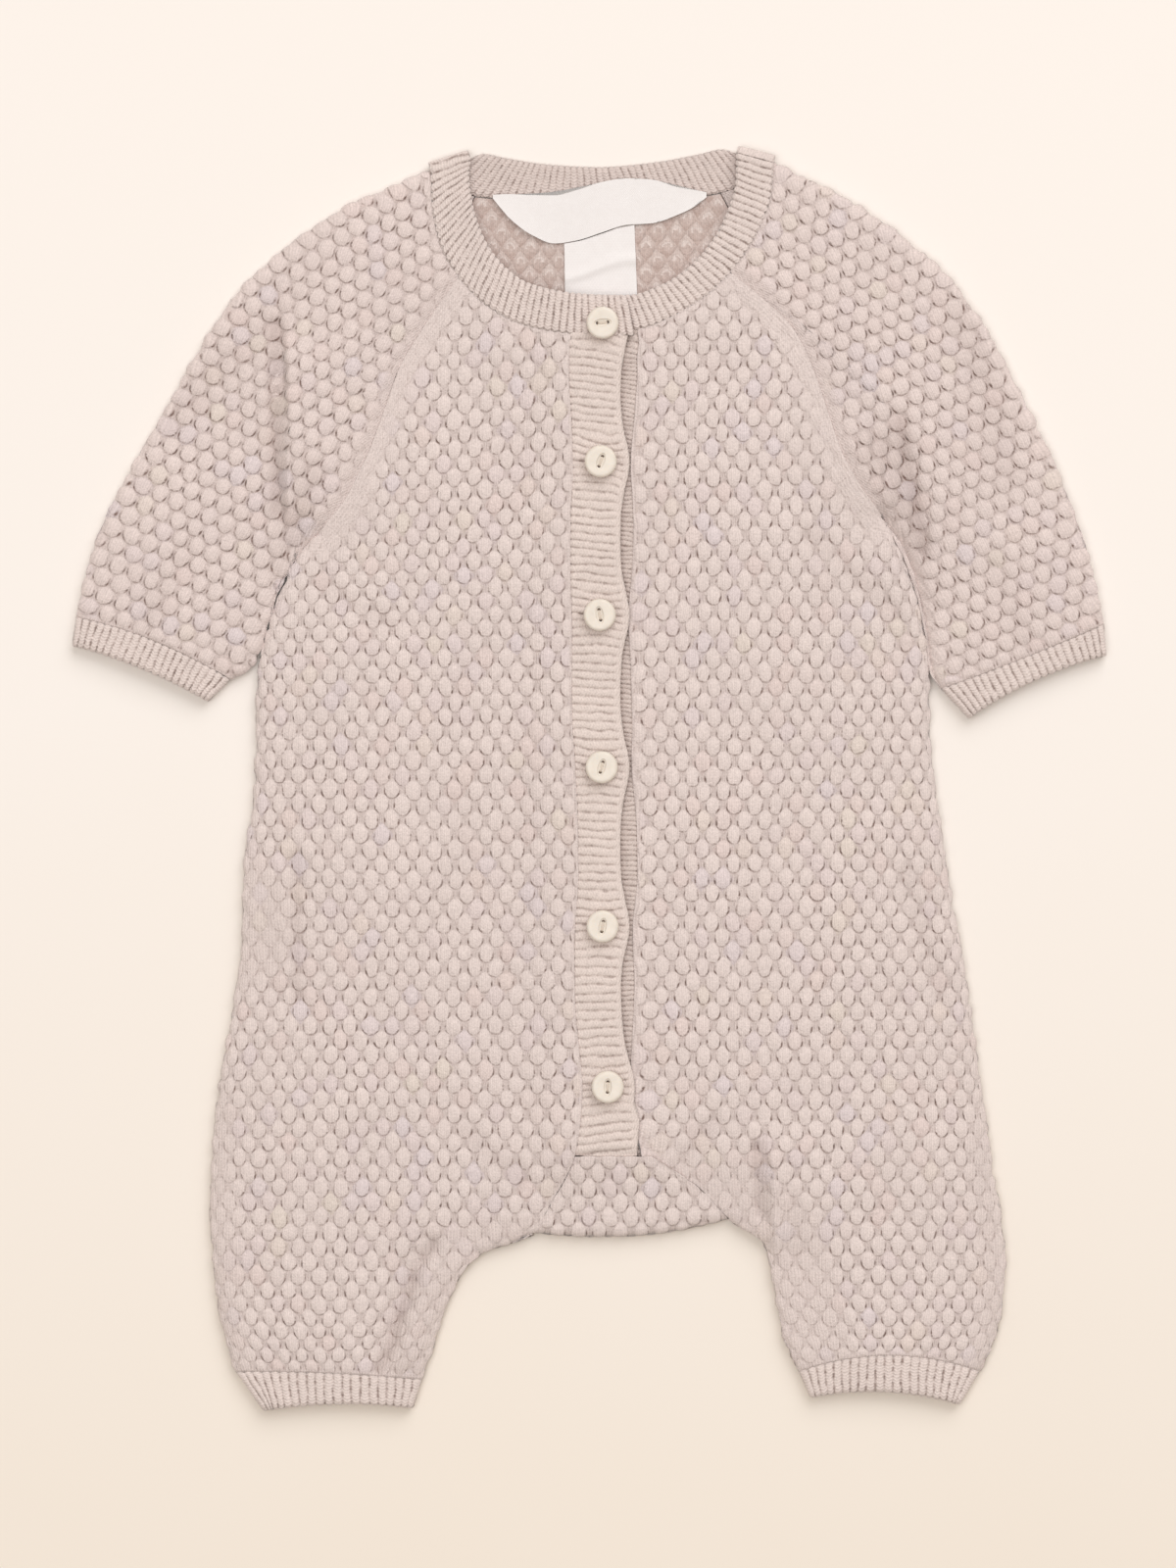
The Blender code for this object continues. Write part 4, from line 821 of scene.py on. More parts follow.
def bubble_knit(name, sizes, crown):
    """Lambswool blend, carded and spun soft, knitted in bubble stitch and steamed.

    It is matt and slightly hairy and pale. Painted shade darkens the bubbles' outlines, most at their sides
    just below the middle, and makes the sunken ground between them duller and pinker, where the yarn runs
    straight in fine upright lines. Each bubble takes the dye a little differently.
    """
    made, tree, shader = new_material(name)
    u, v, fade = mark_parts(tree, "stitch")
    face, _, strip = mark_parts(tree, "cloth")
    away, along, hollow = mark_parts(tree, "seam")
    known = noises(tree, BUBBLE_NOISE)
    body = work_out(tree, STITCHES, {"a": u, "b": v})
    edge = work_out(tree, STITCHES, {"a": away, "b": along})
    yarn = add(tree, "ShaderNodeMix", strip, None, body["yarn"], edge["yarn"])
    known.update(u=u, v=v, fade=fade, face=face, hollow=hollow, yarn=yarn, **sizes)
    steps = (
        "wobbled MULTIPLY_ADD wobble 0.30 -0.15",
        "edge ADD out wobbled",
        # The outline: painted shade in the groove round a bubble, darkest at its sides just below its middle,
        # and broken up by the wool.
        *bell("ring", "edge", 1.03, 0.11),
        *bell("side", "up", -0.32, 0.5),
        "low MULTIPLY_ADD up -0.18 0.20",
        "side_low MULTIPLY_ADD side 0.74 low",
        "breaks MULTIPLY_ADD wobble 3.2 -0.85",
        *held("broken", "breaks", 0.2, 1.15),
        "side_broken MULTIPLY side_low broken",
        "ring_dark MULTIPLY ring side_broken",
        # The ground between the bubbles: painted shade, with a few fine upright lines of the yarn.
        "beyond SUBTRACT edge 0.98",
        "beyond_wide MULTIPLY beyond 5.0",
        *held("ground", "beyond_wide", 0.0, 1.0),
        f"hatch_turn MULTIPLY u {FULL_TURN / HATCH}",
        "hatch COSINE hatch_turn",
        "hatch_broken MULTIPLY hatch broken",
        "hatched MULTIPLY_ADD hatch_broken 0.16 0.20",
        "ground_dark MULTIPLY ground hatched",
        "line MAXIMUM ring_dark ground_dark",
        "cleft_luck MULTIPLY_ADD cloud 0.8 0.6",
        "lined MULTIPLY line cleft_luck",
        "shade_knit MULTIPLY lined fade",
        # The plain places, where the fine stitches show instead, and the painted shade of the creases and
        # armpits, which below 0 is painted light on the rounded sides and along the raglans.
        "plain SUBTRACT 1.0 fade",
        "plain_line MULTIPLY_ADD yarn -0.15 0.13",
        "plain_broken MULTIPLY plain_line broken",
        "shade_plain MULTIPLY plain plain_broken",
        "shade_both ADD shade_knit shade_plain",
        "shade MULTIPLY_ADD hollow 0.36 shade_both",
        # The wrong side: small pale arcs over a duller ground.
        "wrong LESS_THAN face 0.0",
        "wobbled_more MULTIPLY_ADD wobbled 2.2 edge",
        *bell("arc_ring", "wobbled_more", 0.56, 0.12),
        "above GREATER_THAN up 0.0",
        "arc MULTIPLY arc_ring above",
        "arc_whole MAXIMUM broken 0.65",
        "arc_broken MULTIPLY arc arc_whole",
        "under_arc MULTIPLY_ADD up -0.18 0.50",
        "speckled MULTIPLY_ADD broken -0.22 under_arc",
        "speckled_up ADD speckled 0.14",
        "sunk MULTIPLY_ADD arc_broken -0.85 speckled_up",
        # Wool: upright yarns, hair and slow changes of tone.
        "hatch_dark MULTIPLY_ADD hatch 0.045 0.955",
        "yarn_dark MULTIPLY_ADD yarn 0.025 0.975",
        "hair_dark MULTIPLY_ADD hair 0.62 0.69",
        "felt_dark MULTIPLY_ADD wobble 0.16 0.92",
        "cloud_dark MULTIPLY_ADD cloud 0.12 0.94",
        "lines_dark MULTIPLY yarn_dark hatch_dark",
        "both MULTIPLY lines_dark hair_dark",
        "felted MULTIPLY both felt_dark",
        "tone MULTIPLY felted cloud_dark",
        "yarn_high MULTIPLY yarn 0.05",
        "high MULTIPLY_ADD shade_both -0.26 yarn_high",
        "hairy MULTIPLY_ADD hair 0.22 high",
    )
    known = work_out(tree, (*BUBBLES, *steps), known)
    bubble = add(tree, "ShaderNodeCombineXYZ", known["own_chain"], known["bubble"], sizes["row"])
    dye = add(tree, "ShaderNodeValToRGB", add(tree, "ShaderNodeTexWhiteNoise", bubble))
    ramp = dye.color_ramp.elements
    ramp[0].color, ramp[1].color = (linear(code) for code in DYE_ENDS)
    for position, code in (*DYE_NEXT, (0.2, crown), (0.5, lighter(crown, 3)), (0.85, crown)):
        ramp.new(position).color = linear(code)
    tinted = mixed(tree, known["fade"], linear(crown), dye.outputs[0])
    # Painted shade: outlines, ground and creases are darkened towards the shade colour.
    shaded = mixed(tree, known["shade"], tinted, linear(GROOVE_SHADE_COLOUR))
    inside = mixed(tree, known["sunk"], linear(crown), linear(WRONG_SIDE))
    both_sides = mixed(tree, known["wrong"], shaded, inside)
    dress(tree, shader, toned(tree, both_sides, known["tone"]), WOOL, known["hairy"])
    return made


BODY_SIZES = {"spacing": 3.27, "row": 4.65, "wide": 2.28, "tall": 2.9, "depth": 0.62}
BODY_KNIT = bubble_knit("lambswool bubble knit, body", BODY_SIZES, "#e4d6d1")
SQUEEZE, SQUEEZE_REACH, SQUEEZE_EDGE = 1.6, 25.0, 1.3


def squeeze(distance):
    """How much further along the cloth a point is than it looks from above, near a rolled side."""
    wide = (1.0 - np.clip(distance / SQUEEZE_REACH, 0.0, 1.0)) ** 3
    return SQUEEZE * wide + SQUEEZE_EDGE * near(distance, EDGE_RADIUS)


LUMPS, LUMPS_FROM = 160, 225.0  # a table of so many each way, which begins this far out


def lumpy(points, height, grain, seed):
    """Soft random lumps, so high or low and about a grain across, and the same on every run."""
    table = np.random.default_rng(seed).uniform(-1.0, 1.0, (LUMPS, LUMPS))
    at = (points + LUMPS_FROM) / grain
    cell = np.floor(at).astype(int)
    s, r = np.moveaxis(blend(at - cell), -1, 0)
    a, b = np.moveaxis(cell % (LUMPS - 1), -1, 0)
    low = table[a, b] * (1 - s) + table[a + 1, b] * s
    high = table[a, b + 1] * (1 - s) + table[a + 1, b + 1] * s
    return height * (low * (1 - r) + high * r)


# Soft waves along which stitches wander: share, millimetres to a radian along X and along Y, and start.
WAVES_ACROSS = ((1.0, 17.0, 29.0, 1.0), (0.6, -23.0, 11.0, 0.0), (0.4, 7.3, 8.9, 2.0))
WAVES_ALONG = ((1.0, -31.0, 19.0, 2.0), (0.6, 13.0, 41.0, 0.0), (0.4, -9.7, 6.7, 0.0))


def uneven(points, size=0.5):
    """Hand-knitted cloth is a little uneven: how far its stitches have wandered, up to about size."""
    x, y = points[..., 0], points[..., 1]
    across, along = (
        sum(share * np.sin(x / x_length + y / y_length + start) for share, x_length, y_length, start in waves)
        for waves in (WAVES_ACROSS, WAVES_ALONG)
    )
    across, along = across / 2.0 + lumpy(points, 0.8, 4.4, 11), along / 2.0 + lumpy(points, 1.0, 5.2, 12)
    return size * across, size * along


FACE_LEVEL = 0.35  # the wall's face lies this far up a stitch, as a share of its height


def marks_of(u, v, fade, base=FACE_LEVEL, strip=0.0, away=0.0, along=0.0, hollow=0.0, lining_face=0.0):
    """The point attributes of a wall of cloth, for its outer face and its lining.

    stitch holds where a point lies among the stitches and how much they show. cloth holds which side it is, 1
    for the right side and less than 0 for a wrong side that shows, the level that stitches rise from, and the
    share of fine stitches that follow a seam. seam holds where it lies from that seam and along it, and how
    much painted shade darkens it, in creases, armpits, slits and the button band; below 0 it lightens the
    cloth as painted light.
    """
    zero = np.zeros_like(u)
    stitch = np.dstack([u, v, fade])
    outer = np.dstack([1.0 + zero, base + zero, strip + zero])
    inner = np.dstack([lining_face + zero, 0.5 + zero, strip + zero])
    seam = np.dstack([away + zero, along + zero, hollow + zero])
    return {"stitch": (stitch, stitch), "cloth": (outer, inner), "seam": (seam, seam)}


def finish_cloth(piece, node, kind, flat, area, rests_on):
    """Keeps cloth above the surface, attaches it to the root body and hides its imported part, node. Its
    finish, cut, area and what it rests on are not used.
    """
    places = np.empty(3 * len(piece.data.vertices), np.float32)
    piece.data.vertices.foreach_get("co", places)
    places[2::3] = np.maximum(places[2::3], 0.0)
    piece.data.vertices.foreach_set("co", places)
    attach(piece, "root")
    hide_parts(node)


SWELL_REACH = 9.0  # how far in from the edge the swelling begins
ARMPIT_Y, ARMPIT_SPREAD, ARMPIT_SWELL = 66.0, 6.0, 0.9  # the gap is widest here, and closed by so much more
SWELL_FROM_Y, SWELL_TO_Y = (28.0, 36.0), (79.0, 72.0)


def snug(plan, edge, shift):
    """How far the wearer's right sleeve and side swell into the narrow gap between them, along X."""
    y = plan[..., 1]
    corner = 1.0 + ARMPIT_SWELL * hump(y - ARMPIT_Y, ARMPIT_SPREAD)
    swell = shift * corner * near(distance_to(plan, edge), SWELL_REACH)
    return swell * ease(y, *SWELL_FROM_Y) * ease(y, *SWELL_TO_Y)


KNOBS = ((0.42, 2.7, 61), (0.2, 1.2, 62))  # height, grain and seed of bubbles' bumps and of the wool's loops
KNOB_REACH = 3.2


def knobbly(plan, edges, shown):
    """How far the rolled sides stand out or in where a bubble or a loop of wool lies on them."""
    to_edge, away = nearest_of(plan, edges)
    bumps = sum(lumpy(plan, *knobs) for knobs in KNOBS)
    return away * (bumps * near(to_edge, KNOB_REACH) * shown)[..., None]


Crease = namedtuple("Crease", "x0 y0 x1 y1 depth width")
CREASES = listed(
    Crease,
    (-49.0, -147.5, -54.9, -157.5, -0.8, 2.2), (-55.5, -160.5, -59.5, -170.5, -1.1, 2.2),
    (-60.5, -174.5, -66.0, -187.5, -1.0, 2.2), (-51.0, -157.0, -57.5, -184.0, 0.8, 3.0),
    (-92.6, -26.0, -92.2, -70.0, -0.7, 2.6), (-96.5, -30.0, -97.0, -66.0, 0.35, 3.0),
    (57.0, -112.0, 58.5, -146.0, 0.4, 2.4), (52.6, -117.0, 54.2, -138.0, -0.9, 2.0),
    (64.0, -120.0, 66.0, -150.0, -0.3, 3.0), (70.0, 76.0, 98.0, 52.0, -0.45, 4.0),
    (-84.0, 60.0, -62.0, 48.0, -0.4, 4.0), (100.0, -30.0, 112.0, -70.0, -0.4, 4.0),
    (-40.0, -112.0, -20.0, -128.0, -0.4, 3.5), (40.0, -108.0, 26.0, -126.0, -0.4, 3.5),
    (98.5, 112.0, 106.0, 72.0, -1.0, 2.8), (118.0, 150.0, 132.0, 96.0, -0.4, 6.0),
    (-99.0, 142.0, -99.0, 84.0, -1.0, 2.6), (-92.5, 134.0, -93.5, 86.0, 0.4, 3.5),
    (-96.0, 150.0, -132.0, 112.0, -0.35, 6.0), (-128.0, 70.0, -140.0, 48.0, -0.3, 4.0),
    (128.0, 66.0, 138.0, 44.0, -0.3, 4.0),
)


def creased(points, creases):
    """How far the cloth stands off its form along its soft creases."""
    height = np.zeros(points.shape[:-1])
    for crease in creases:
        distance = distance_to(points, np.array([[crease.x0, crease.y0], [crease.x1, crease.y1]]))
        height += crease.depth * hump(distance, crease.width)
    return height


def thin(line):
    """A long line with fewer of its points."""
    return line[:: max(1, len(line) // 40)]


Button = namedtuple("Button", "x y turn")  # turn: which way its two holes lie, in degrees
BUTTONS = listed(
    Button,
    (4.3, 142.9, 5.0), (3.7, 99.2, 70.0), (3.4, 50.8, 100.0), (4.0, 2.8, 75.0), (4.3, -47.4, 80.0),
    (5.9, -98.0, 88.0),
)
BODY_SWELL, SLEEVE_SWELL = 1.1, 1.7
WAVE = 0.15, 10.0, 21  # laid cloth is never quite level
TO_RIB, TO_RIB_REACH = 0.42, 5.0  # the knit slopes down this much to the thinner rib sewn to it
ROUGH, ROUGH_TO = (0.16, 1.5), (3.0, 8.0)  # loops of wool stand up in the plain strip along the raglans
STRIP_PAINTED_LIGHT, STRIP_REACH = 0.25, 9.0  # that strip lies smooth, and its painted shade is lessened, so it is painted a little paler
STRIP, STRIP_TO = 0.8, (4.5, 9.5)  # its fine stitches follow the seam
STRIP_WANDER = 0.6, 2.4
# The least height of the bubbles beside a seam, a stretched side or a placket, and where they grow fuller.
BY_RAGLAN, BY_UNDERARM = (0.2, 2.5, 8.5), (0.35, 4.0, 13.0)
BY_SIDE, BY_INSEAM = (0.45, -4.0, 4.0), (0.5, -4.0, 4.0)
LEG_TOP, NO_INSEAM = (-112.0, -106.0), 400.0  # above this there is no inseam
SEAM_SHOW = 0.2, 1.4  # the bubbles end this near a seam
EDGE_PAINTED_LIGHT, EDGE_PAINTED_LIGHT_REACH = 1.2, 2.6  # painted light on the rounded sides: their bubbles' dark lines are lessened there
EDGE_BUBBLES, EDGE_BUBBLES_REACH = 0.95, 4.0  # but its bubbles show in the outline
# Painted shade in the creases: how dark for each millimetre deeper, and from what depth on.
CREASE_PAINTED_SHADE, CREASE_FROM = 0.8, 0.1
CROWD_REACH = 32.0  # how far above a leg cuff the bubbles begin to draw together
CROWD_IN, CROWD_DOWN = 0.2, 4.5
TILT_Y = 20.0, 110.0  # the chains lean more and more between these heights
TILT = {"right": 0.09, "left": 0.03}
SELVEDGE, SELVEDGE_REACH = 0.8, 6.0  # the left front's edge lies so far over the button band, more at a button
SELVEDGE_Y = ((-124.0, -120.0), (138.0, 132.0))
SELVEDGE_LOW, SELVEDGE_END, SELVEDGE_BUTTON = 1.1, 1.0, 1.1
BUTTON_SPREAD = 11.0


def rough_strip(plan, to_raglan, to_seam, seed):
    """How far loops of wool stand up along a raglan."""
    return lumpy(plan, *ROUGH, seed) * (1.0 - ease(to_raglan, *ROUGH_TO)) * blend(to_seam)


def lip(y):
    """How far the left front's edge lies over the button band, at each height."""
    at_button = sum(hump(y - button.y, BUTTON_SPREAD) for button in BUTTONS[1:])
    lower = SELVEDGE_LOW * ease(y, -60.0, -95.0) + SELVEDGE_END * ease(y, -104.0, -116.0)
    return SELVEDGE + lower + SELVEDGE_BUTTON * at_button


def plain_places(side, y):
    """How far in from the side and from the inseam the cloth is stretched flat, at each height."""
    if side == "left":
        return 7.0 * ease(y, -95.0, -120.0), 19.0 * ease(y, -108.0, -120.0)
    waist = 15.0 * ease(y, -75.0, -55.0) * ease(y, -20.0, -40.0)
    return np.maximum(waist, 7.0 * ease(y, -90.0, -115.0)), 16.0 * ease(y, -135.0, -147.0)


FRONTS = (
    # side, rows, marks, neck table, its rows, ankle bow, side's sign, cut in metres, its area
    ("right", RIGHT_ROWS, RIGHT_MARKS, NECK_FRONT_RIGHT, ("raglan", "placket"), CUFFS[2].seam_bow,
     -1, (0.121, 0.349), 0.0312),
    ("left", LEFT_ROWS, LEFT_MARKS, NECK_FRONT_LEFT, ("raglan", "throat"), CUFFS[3].seam_bow,
     1, (0.122, 0.349), 0.0295),
)
for side, rows, marks, neck_table, neck_rows, bow, sign, flat, area in FRONTS:
    edges = edges_of(f"{side} side", f"{side} inseam")
    rise = placket_rise if side == "right" else no_rise
    coarse, coarse_seams = front_plan(rows, marks, neck_table, neck_rows, bow)
    closed, _ = front_plan(rows, marks, neck_table, neck_rows, bow, CLOSED)
    plan, row_at, column_at = finer(closed, FRONT_GRAIN)
    outer, lining = fine_layer(upper_layer, plan, coarse, (row_at, column_at), edges, coarse_seams, rise=rise)
    x, y = plan[..., 0], plan[..., 1]
    raglan, placket = rows[marks[UNDERARM] :, :2], plan[row_at[marks[CROTCH]] + 8 :, -1]
    to_side, to_inseam, to_raglan = (distance_to(plan, line) for line in (*edges, raglan))
    to_edge = np.minimum(to_side, to_inseam)
    to_seam = distance_to(plan, raglan, thin(plan[-1]), thin(plan[0]), thin(placket))
    to_ends = distance_to(plan, thin(plan[-1]), thin(plan[0]))
    bent = creased(plan, CREASES)
    level = blend(to_side / EDGE_RADIUS) * blend(to_inseam / EDGE_RADIUS)
    outer[..., 2] += (bent + lumpy(plan, *WAVE)) * level - RAGLAN_DIP * near(to_raglan)
    outer[..., 2] -= TO_RIB * near(to_ends, TO_RIB_REACH) + SEWN_DIP * near(distance_to(plan, placket[::12]))
    outer[..., :2] += knobbly(plan, edges, blend(to_ends / EDGE_RADIUS))
    outer[..., 0] -= snug(plan, EDGES["right side"], BODY_SWELL)
    outer[..., 2] += rough_strip(plan, to_raglan, to_seam, 63)
    # Painted shade in the creases, and painted light on the rounded sides and along the raglan.
    hollow = np.clip(-bent - CREASE_FROM, 0.0, 1.0) * CREASE_PAINTED_SHADE
    hollow -= EDGE_PAINTED_LIGHT * near(to_edge, EDGE_PAINTED_LIGHT_REACH)
    hollow -= STRIP_PAINTED_LIGHT * (1.0 - blend(to_raglan / STRIP_REACH))
    if side == "left":
        to_band = x - np.interp(y, coarse[:, -1, 1], coarse[:, -1, 0])
        beside = ease(y, *SELVEDGE_Y[0]) * ease(y, *SELVEDGE_Y[1])
        outer[..., 0] -= lip(y) * near(to_band, SELVEDGE_REACH) * beside
    wander_u, wander_v = uneven(plan)
    crowd = (1.0 - np.clip((y - plan[0, 0, 1]) / CROWD_REACH, 0.0, 1.0)) ** 2
    u = x + sign * squeeze(to_side) + wander_u + CROWD_IN * crowd * (x - plan[0, :, 0].mean())
    v = y - TILT[side] * ease(y, *TILT_Y) * x + wander_v - CROWD_DOWN * crowd
    shown = ease(to_seam, *SEAM_SHOW)
    plain_side, plain_inseam = plain_places(side, y)
    to_inner = np.minimum(to_inseam, np.abs(x - coarse[-1, -1, 0]) + NO_INSEAM * ease(y, *LEG_TOP))
    fade = partly(to_raglan, *BY_RAGLAN) * shown
    fade *= partly(distance_to(plan, raglan[:2]), *BY_UNDERARM)
    fade *= partly(to_side - plain_side, *BY_SIDE)
    fade *= partly(to_inner - plain_inseam, *BY_INSEAM)
    fade = np.maximum(fade, EDGE_BUBBLES * near(to_edge, EDGE_BUBBLES_REACH) * shown)
    strip = STRIP * (1.0 - ease(to_raglan, *STRIP_TO))
    run = np.interp(y, coarse[:, 0, 1], stations(coarse[:, 0]))
    base = FACE_LEVEL * blend(to_edge / EDGE_RADIUS)
    away = to_raglan + lumpy(plan, *STRIP_WANDER, 51)
    cloth_marks = marks_of(u, v, fade, base, strip, away, run, hollow)
    cloth = shell(f"{side}_front_knit", outer, lining, row_at, column_at, cloth_marks)
    grow(cloth, "bubble stitch", DOMES, BODY_SIZES, BODY_KNIT)
    finish_cloth(cloth, f"front_{side}", "knit", flat, area, ["back"])

# ---------------------------------------------------------------- The back, in one with both legs
# One panel of the same bubble stitch. Its right side lies on the surface, which presses the bubbles level,
# and its wrong side shows in the neck opening, duller and pinker, with low arcs where the bubbles are sunk.

NAPE_REACH = 20.0  # how far below the nape the back's rows bend with it
CROTCH_REACH = 45.0  # how far above the crotch the back's rows sag with it
SPREAD_REACH = 120.0  # how far above the crotch the back's columns are evenly spread again
LEG_COLUMNS, CROTCH_COLUMNS = 5, 6
BACK_GRAIN = 1.12
BACK_PLAIN_TO, BACK_STRIP_TO = (9.0, 14.0), (10.0, 13.0)  # how far the strip by its raglans goes
LINK_SHOW = 0.4, 2.0  # the bubbles end this near a linked seam
BackSection = namedtuple("BackSection", "name right_x right_y left_x left_y")
BACK_YOKE = listed(
    BackSection,
    ("underarm", -85.6, 76.6, 93.0, 81.8), ("blade", -76.0, 95.0, 84.5, 97.0),
    ("yoke", -66.0, 118.0, 74.0, 119.0), ("shoulder", -54.0, 146.0, 62.0, 146.0),
    ("neck", -36.0, 183.8, 41.5, 184.9),
)
NECK_BACK = listed(
    Turn,
    ("right fold", -37.5, 195.5, -49.9, 191.6), ("right shoulder", -33.5, 197.0, -45.0, 187.4),
    ("right raglan", -27.0, 195.8, -36.0, 183.8), ("right nape", -12.7, 193.6, -15.0, 182.4),
    ("nape", 3.0, 192.8, 5.0, 182.0), ("left nape", 20.0, 194.2, 25.0, 182.7),
    ("left raglan", 34.5, 196.8, 41.5, 184.9), ("left shoulder", 42.0, 198.4, 51.0, 188.6),
    ("left fold", 46.8, 197.0, 58.3, 194.0),
)


def lower_layer(plan, edges, wall, join=MID_HEIGHT - GAP / 2, seams=None):
    """Outer and inner points of cloth in the back layer, flat on the surface, rounded up at the edges."""
    cos, sin, away = rounding(plan, edges, seams)
    outer = np.dstack([plan, join * (1.0 - sin)])
    inner = np.dstack([plan + away * (wall * cos)[..., None], join + (wall - join) * sin])
    return outer, inner


BACK_SIZES = {"spacing": 3.15, "row": 4.4, "wide": 2.25, "tall": 2.8, "depth": 0.66}
BACK_KNIT = bubble_knit("lambswool bubble knit, back", BACK_SIZES, "#e2d4ce")
BACK_CREASES = listed(
    Crease,
    (-96.0, 52.0, -60.0, 20.0, 0.8, 5.0), (104.0, 58.0, 62.0, 30.0, 0.9, 6.0),
    (-70.0, -96.0, -18.0, -118.0, 0.7, 6.0), (84.0, -92.0, 36.0, -116.0, 0.8, 5.0),
    (-88.0, -20.0, -84.0, -66.0, 0.6, 6.0), (92.0, -14.0, 96.0, -60.0, 0.6, 7.0),
    (-20.0, 120.0, 34.0, 128.0, 0.5, 7.0),
)


def back_plan():
    """The back from above: the legs' rows join the body's rows at the crotch."""
    right_leg = rows_between(RIGHT_ROWS[: RIGHT_MARKS[CROTCH] + 1], LEG_COLUMNS)
    count = len(right_leg)
    left_rows = LEFT_ROWS[: LEFT_MARKS[CROTCH] + 1]
    left_ends = through(left_rows, np.linspace(0.0, 1.0, len(left_rows)), np.linspace(0.0, 1.0, count))
    left_leg = rows_between(left_ends[:, [2, 3, 0, 1]], LEG_COLUMNS)
    for leg, cuff in ((right_leg, CUFFS[2]), (left_leg, CUFFS[3])):
        bend_to_cuff(leg, cuff.seam_bow)
    between = crotch_line(CROTCH_COLUMNS + 2)[1:-1]
    base = np.concatenate([right_leg[-1], between, left_leg[-1]])
    legs_plan = np.concatenate([right_leg, np.tile(between, (count, 1, 1)), left_leg], axis=1)

    right_side = RIGHT_ROWS[RIGHT_MARKS[CROTCH] : RIGHT_MARKS[UNDERARM] + 1, :2]
    left_all = LEFT_ROWS[LEFT_MARKS[CROTCH] : LEFT_MARKS[UNDERARM] + 1, :2]
    left_side = curve(left_all, at=shares_of(right_side))
    shares = shares_of(base)
    even = rows_between(np.array([[*right_side[-1], *left_side[-1]]]), len(base) - 2 * len(EDGE_STEPS))[0]
    target = shares_of(even)
    hang = base - (base[0] + (base[-1] - base[0]) * shares[:, None])
    body = [base]
    for length, a, b in zip(stations(right_side)[1:], right_side[1:], left_side[1:]):
        t = blend(length / SPREAD_REACH)
        spread = (shares * (1 - t) + target * t)[:, None]
        body.append(a + (b - a) * spread + hang * (1.0 - blend(length / CROTCH_REACH)))
    yoke, _ = sections(BACK_YOKE)
    for ax, ay, bx, by in yoke[1:]:
        body.append(np.array([ax, ay]) + target[:, None] * np.array([bx - ax, by - ay]))
    nape = curve(neck_seam(NECK_BACK, "right raglan", "left raglan", EDGE_POINTS), at=target)
    body = bend_row(np.array(body), -1, nape, NAPE_REACH)
    plan = np.concatenate([legs_plan, body[1:]])
    sewn = np.where(np.arange(len(plan)) >= len(plan) - len(yoke), GAP / 2, 0.0)
    plan = drawn_in(plan, CUFF_GAP, CURVE_GAP, sewn, sewn)
    return plan, len(yoke), count, 2 * len(EDGE_STEPS) + LEG_COLUMNS


coarse, yoke_rows, leg_rows, leg_columns = back_plan()
present = np.ones((len(coarse) - 1, coarse.shape[1] - 1), bool)
present[: leg_rows - 1, leg_columns - 1 : leg_columns + CROTCH_COLUMNS] = False
edges = edges_of("right side", "left side", "right inseam", "left inseam", "crotch")
across = (stations(coarse[0]) + stations(coarse[-8])) / 2
plan, row_at, column_at = finer(coarse, BACK_GRAIN, stations(coarse[:, 5]), across)
outer, lining = fine_layer(lower_layer, plan, coarse, (row_at, column_at), edges)
x, y = plan[..., 0], plan[..., 1]
raglans = coarse[-yoke_rows:, 0], coarse[-yoke_rows:, -1]
to_edge, to_raglan = distance_to(plan, *edges), distance_to(plan, *raglans)
to_seam = distance_to(plan, *raglans, coarse[-1])
outer[..., 2] += creased(plan, BACK_CREASES) * ease(to_edge, 4.0, 12.0)
outer[..., :2] += knobbly(plan, edges, blend(distance_to(plan, plan[0][::8], plan[-1][::8]) / EDGE_RADIUS))
outer[..., 0] -= snug(plan, EDGES["right side"], BODY_SWELL)
# The lining is fine only where the neck opening shows it.
seen = (coarse[:-1, :-1, 1] > 138.0) & (coarse[:-1, 1:, 0] > -48.0) & (coarse[:-1, :-1, 0] < 56.0)
wander_u, wander_v = uneven(plan, 0.7)
fade = ease(to_raglan, *BACK_PLAIN_TO) * ease(to_seam, *LINK_SHOW)
u = x + np.sign(x) * squeeze(to_edge) + wander_u
base, strip = partly(to_edge, FACE_LEVEL, 0.0, EDGE_RADIUS), 1.0 - ease(to_raglan, *BACK_STRIP_TO)
marks = marks_of(u, y + wander_v, fade, base, strip, to_raglan, y, lining_face=-0.3)
cloth = shell("back_knit", outer, lining, row_at, column_at, marks, present, seen)
grow(cloth, "bubble stitch", DOMES, BACK_SIZES, BACK_KNIT)
finish_cloth(cloth, "back", "knit", (0.256, 0.378), 0.0719, ["floor"])

# ---------------------------------------------------------------- The crotch gusset
# A bell-shaped inset of bubble stitch between the legs' inner edges, below the end of the bands. It is made
# on its own and linked to both fronts and to the back, so that the legs can spread.

GUSSET_GAP = 0.7  # the gusset keeps back from its curved seams
GUSSET_RISE, GUSSET_RISE_Y = 1.2, (-134.0, -120.0)  # the gusset swells below the bands' end
GUSSET_LIP, GUSSET_LIP_REACH = 0.8, 7.0  # and once more right beside them
GUSSET_COLUMNS = 8
GUSSET_GRAIN = 0.62


def coons(bottom, top, left, right):
    """A plan grid between four lines: bottom and top run across, left and right run from bottom to top."""
    u = (shares_of(bottom) + shares_of(top))[None, :, None] / 2
    v = (shares_of(left) + shares_of(right))[:, None, None] / 2
    ruled = (1 - v) * bottom[None] + v * top[None] + (1 - u) * left[:, None] + u * right[:, None]
    corners = (1 - v) * ((1 - u) * bottom[0] + u * bottom[-1]) + v * ((1 - u) * top[0] + u * top[-1])
    return ruled - corners


def gusset_rise(points):
    return GUSSET_RISE * ease(points[..., 1], *GUSSET_RISE_Y)


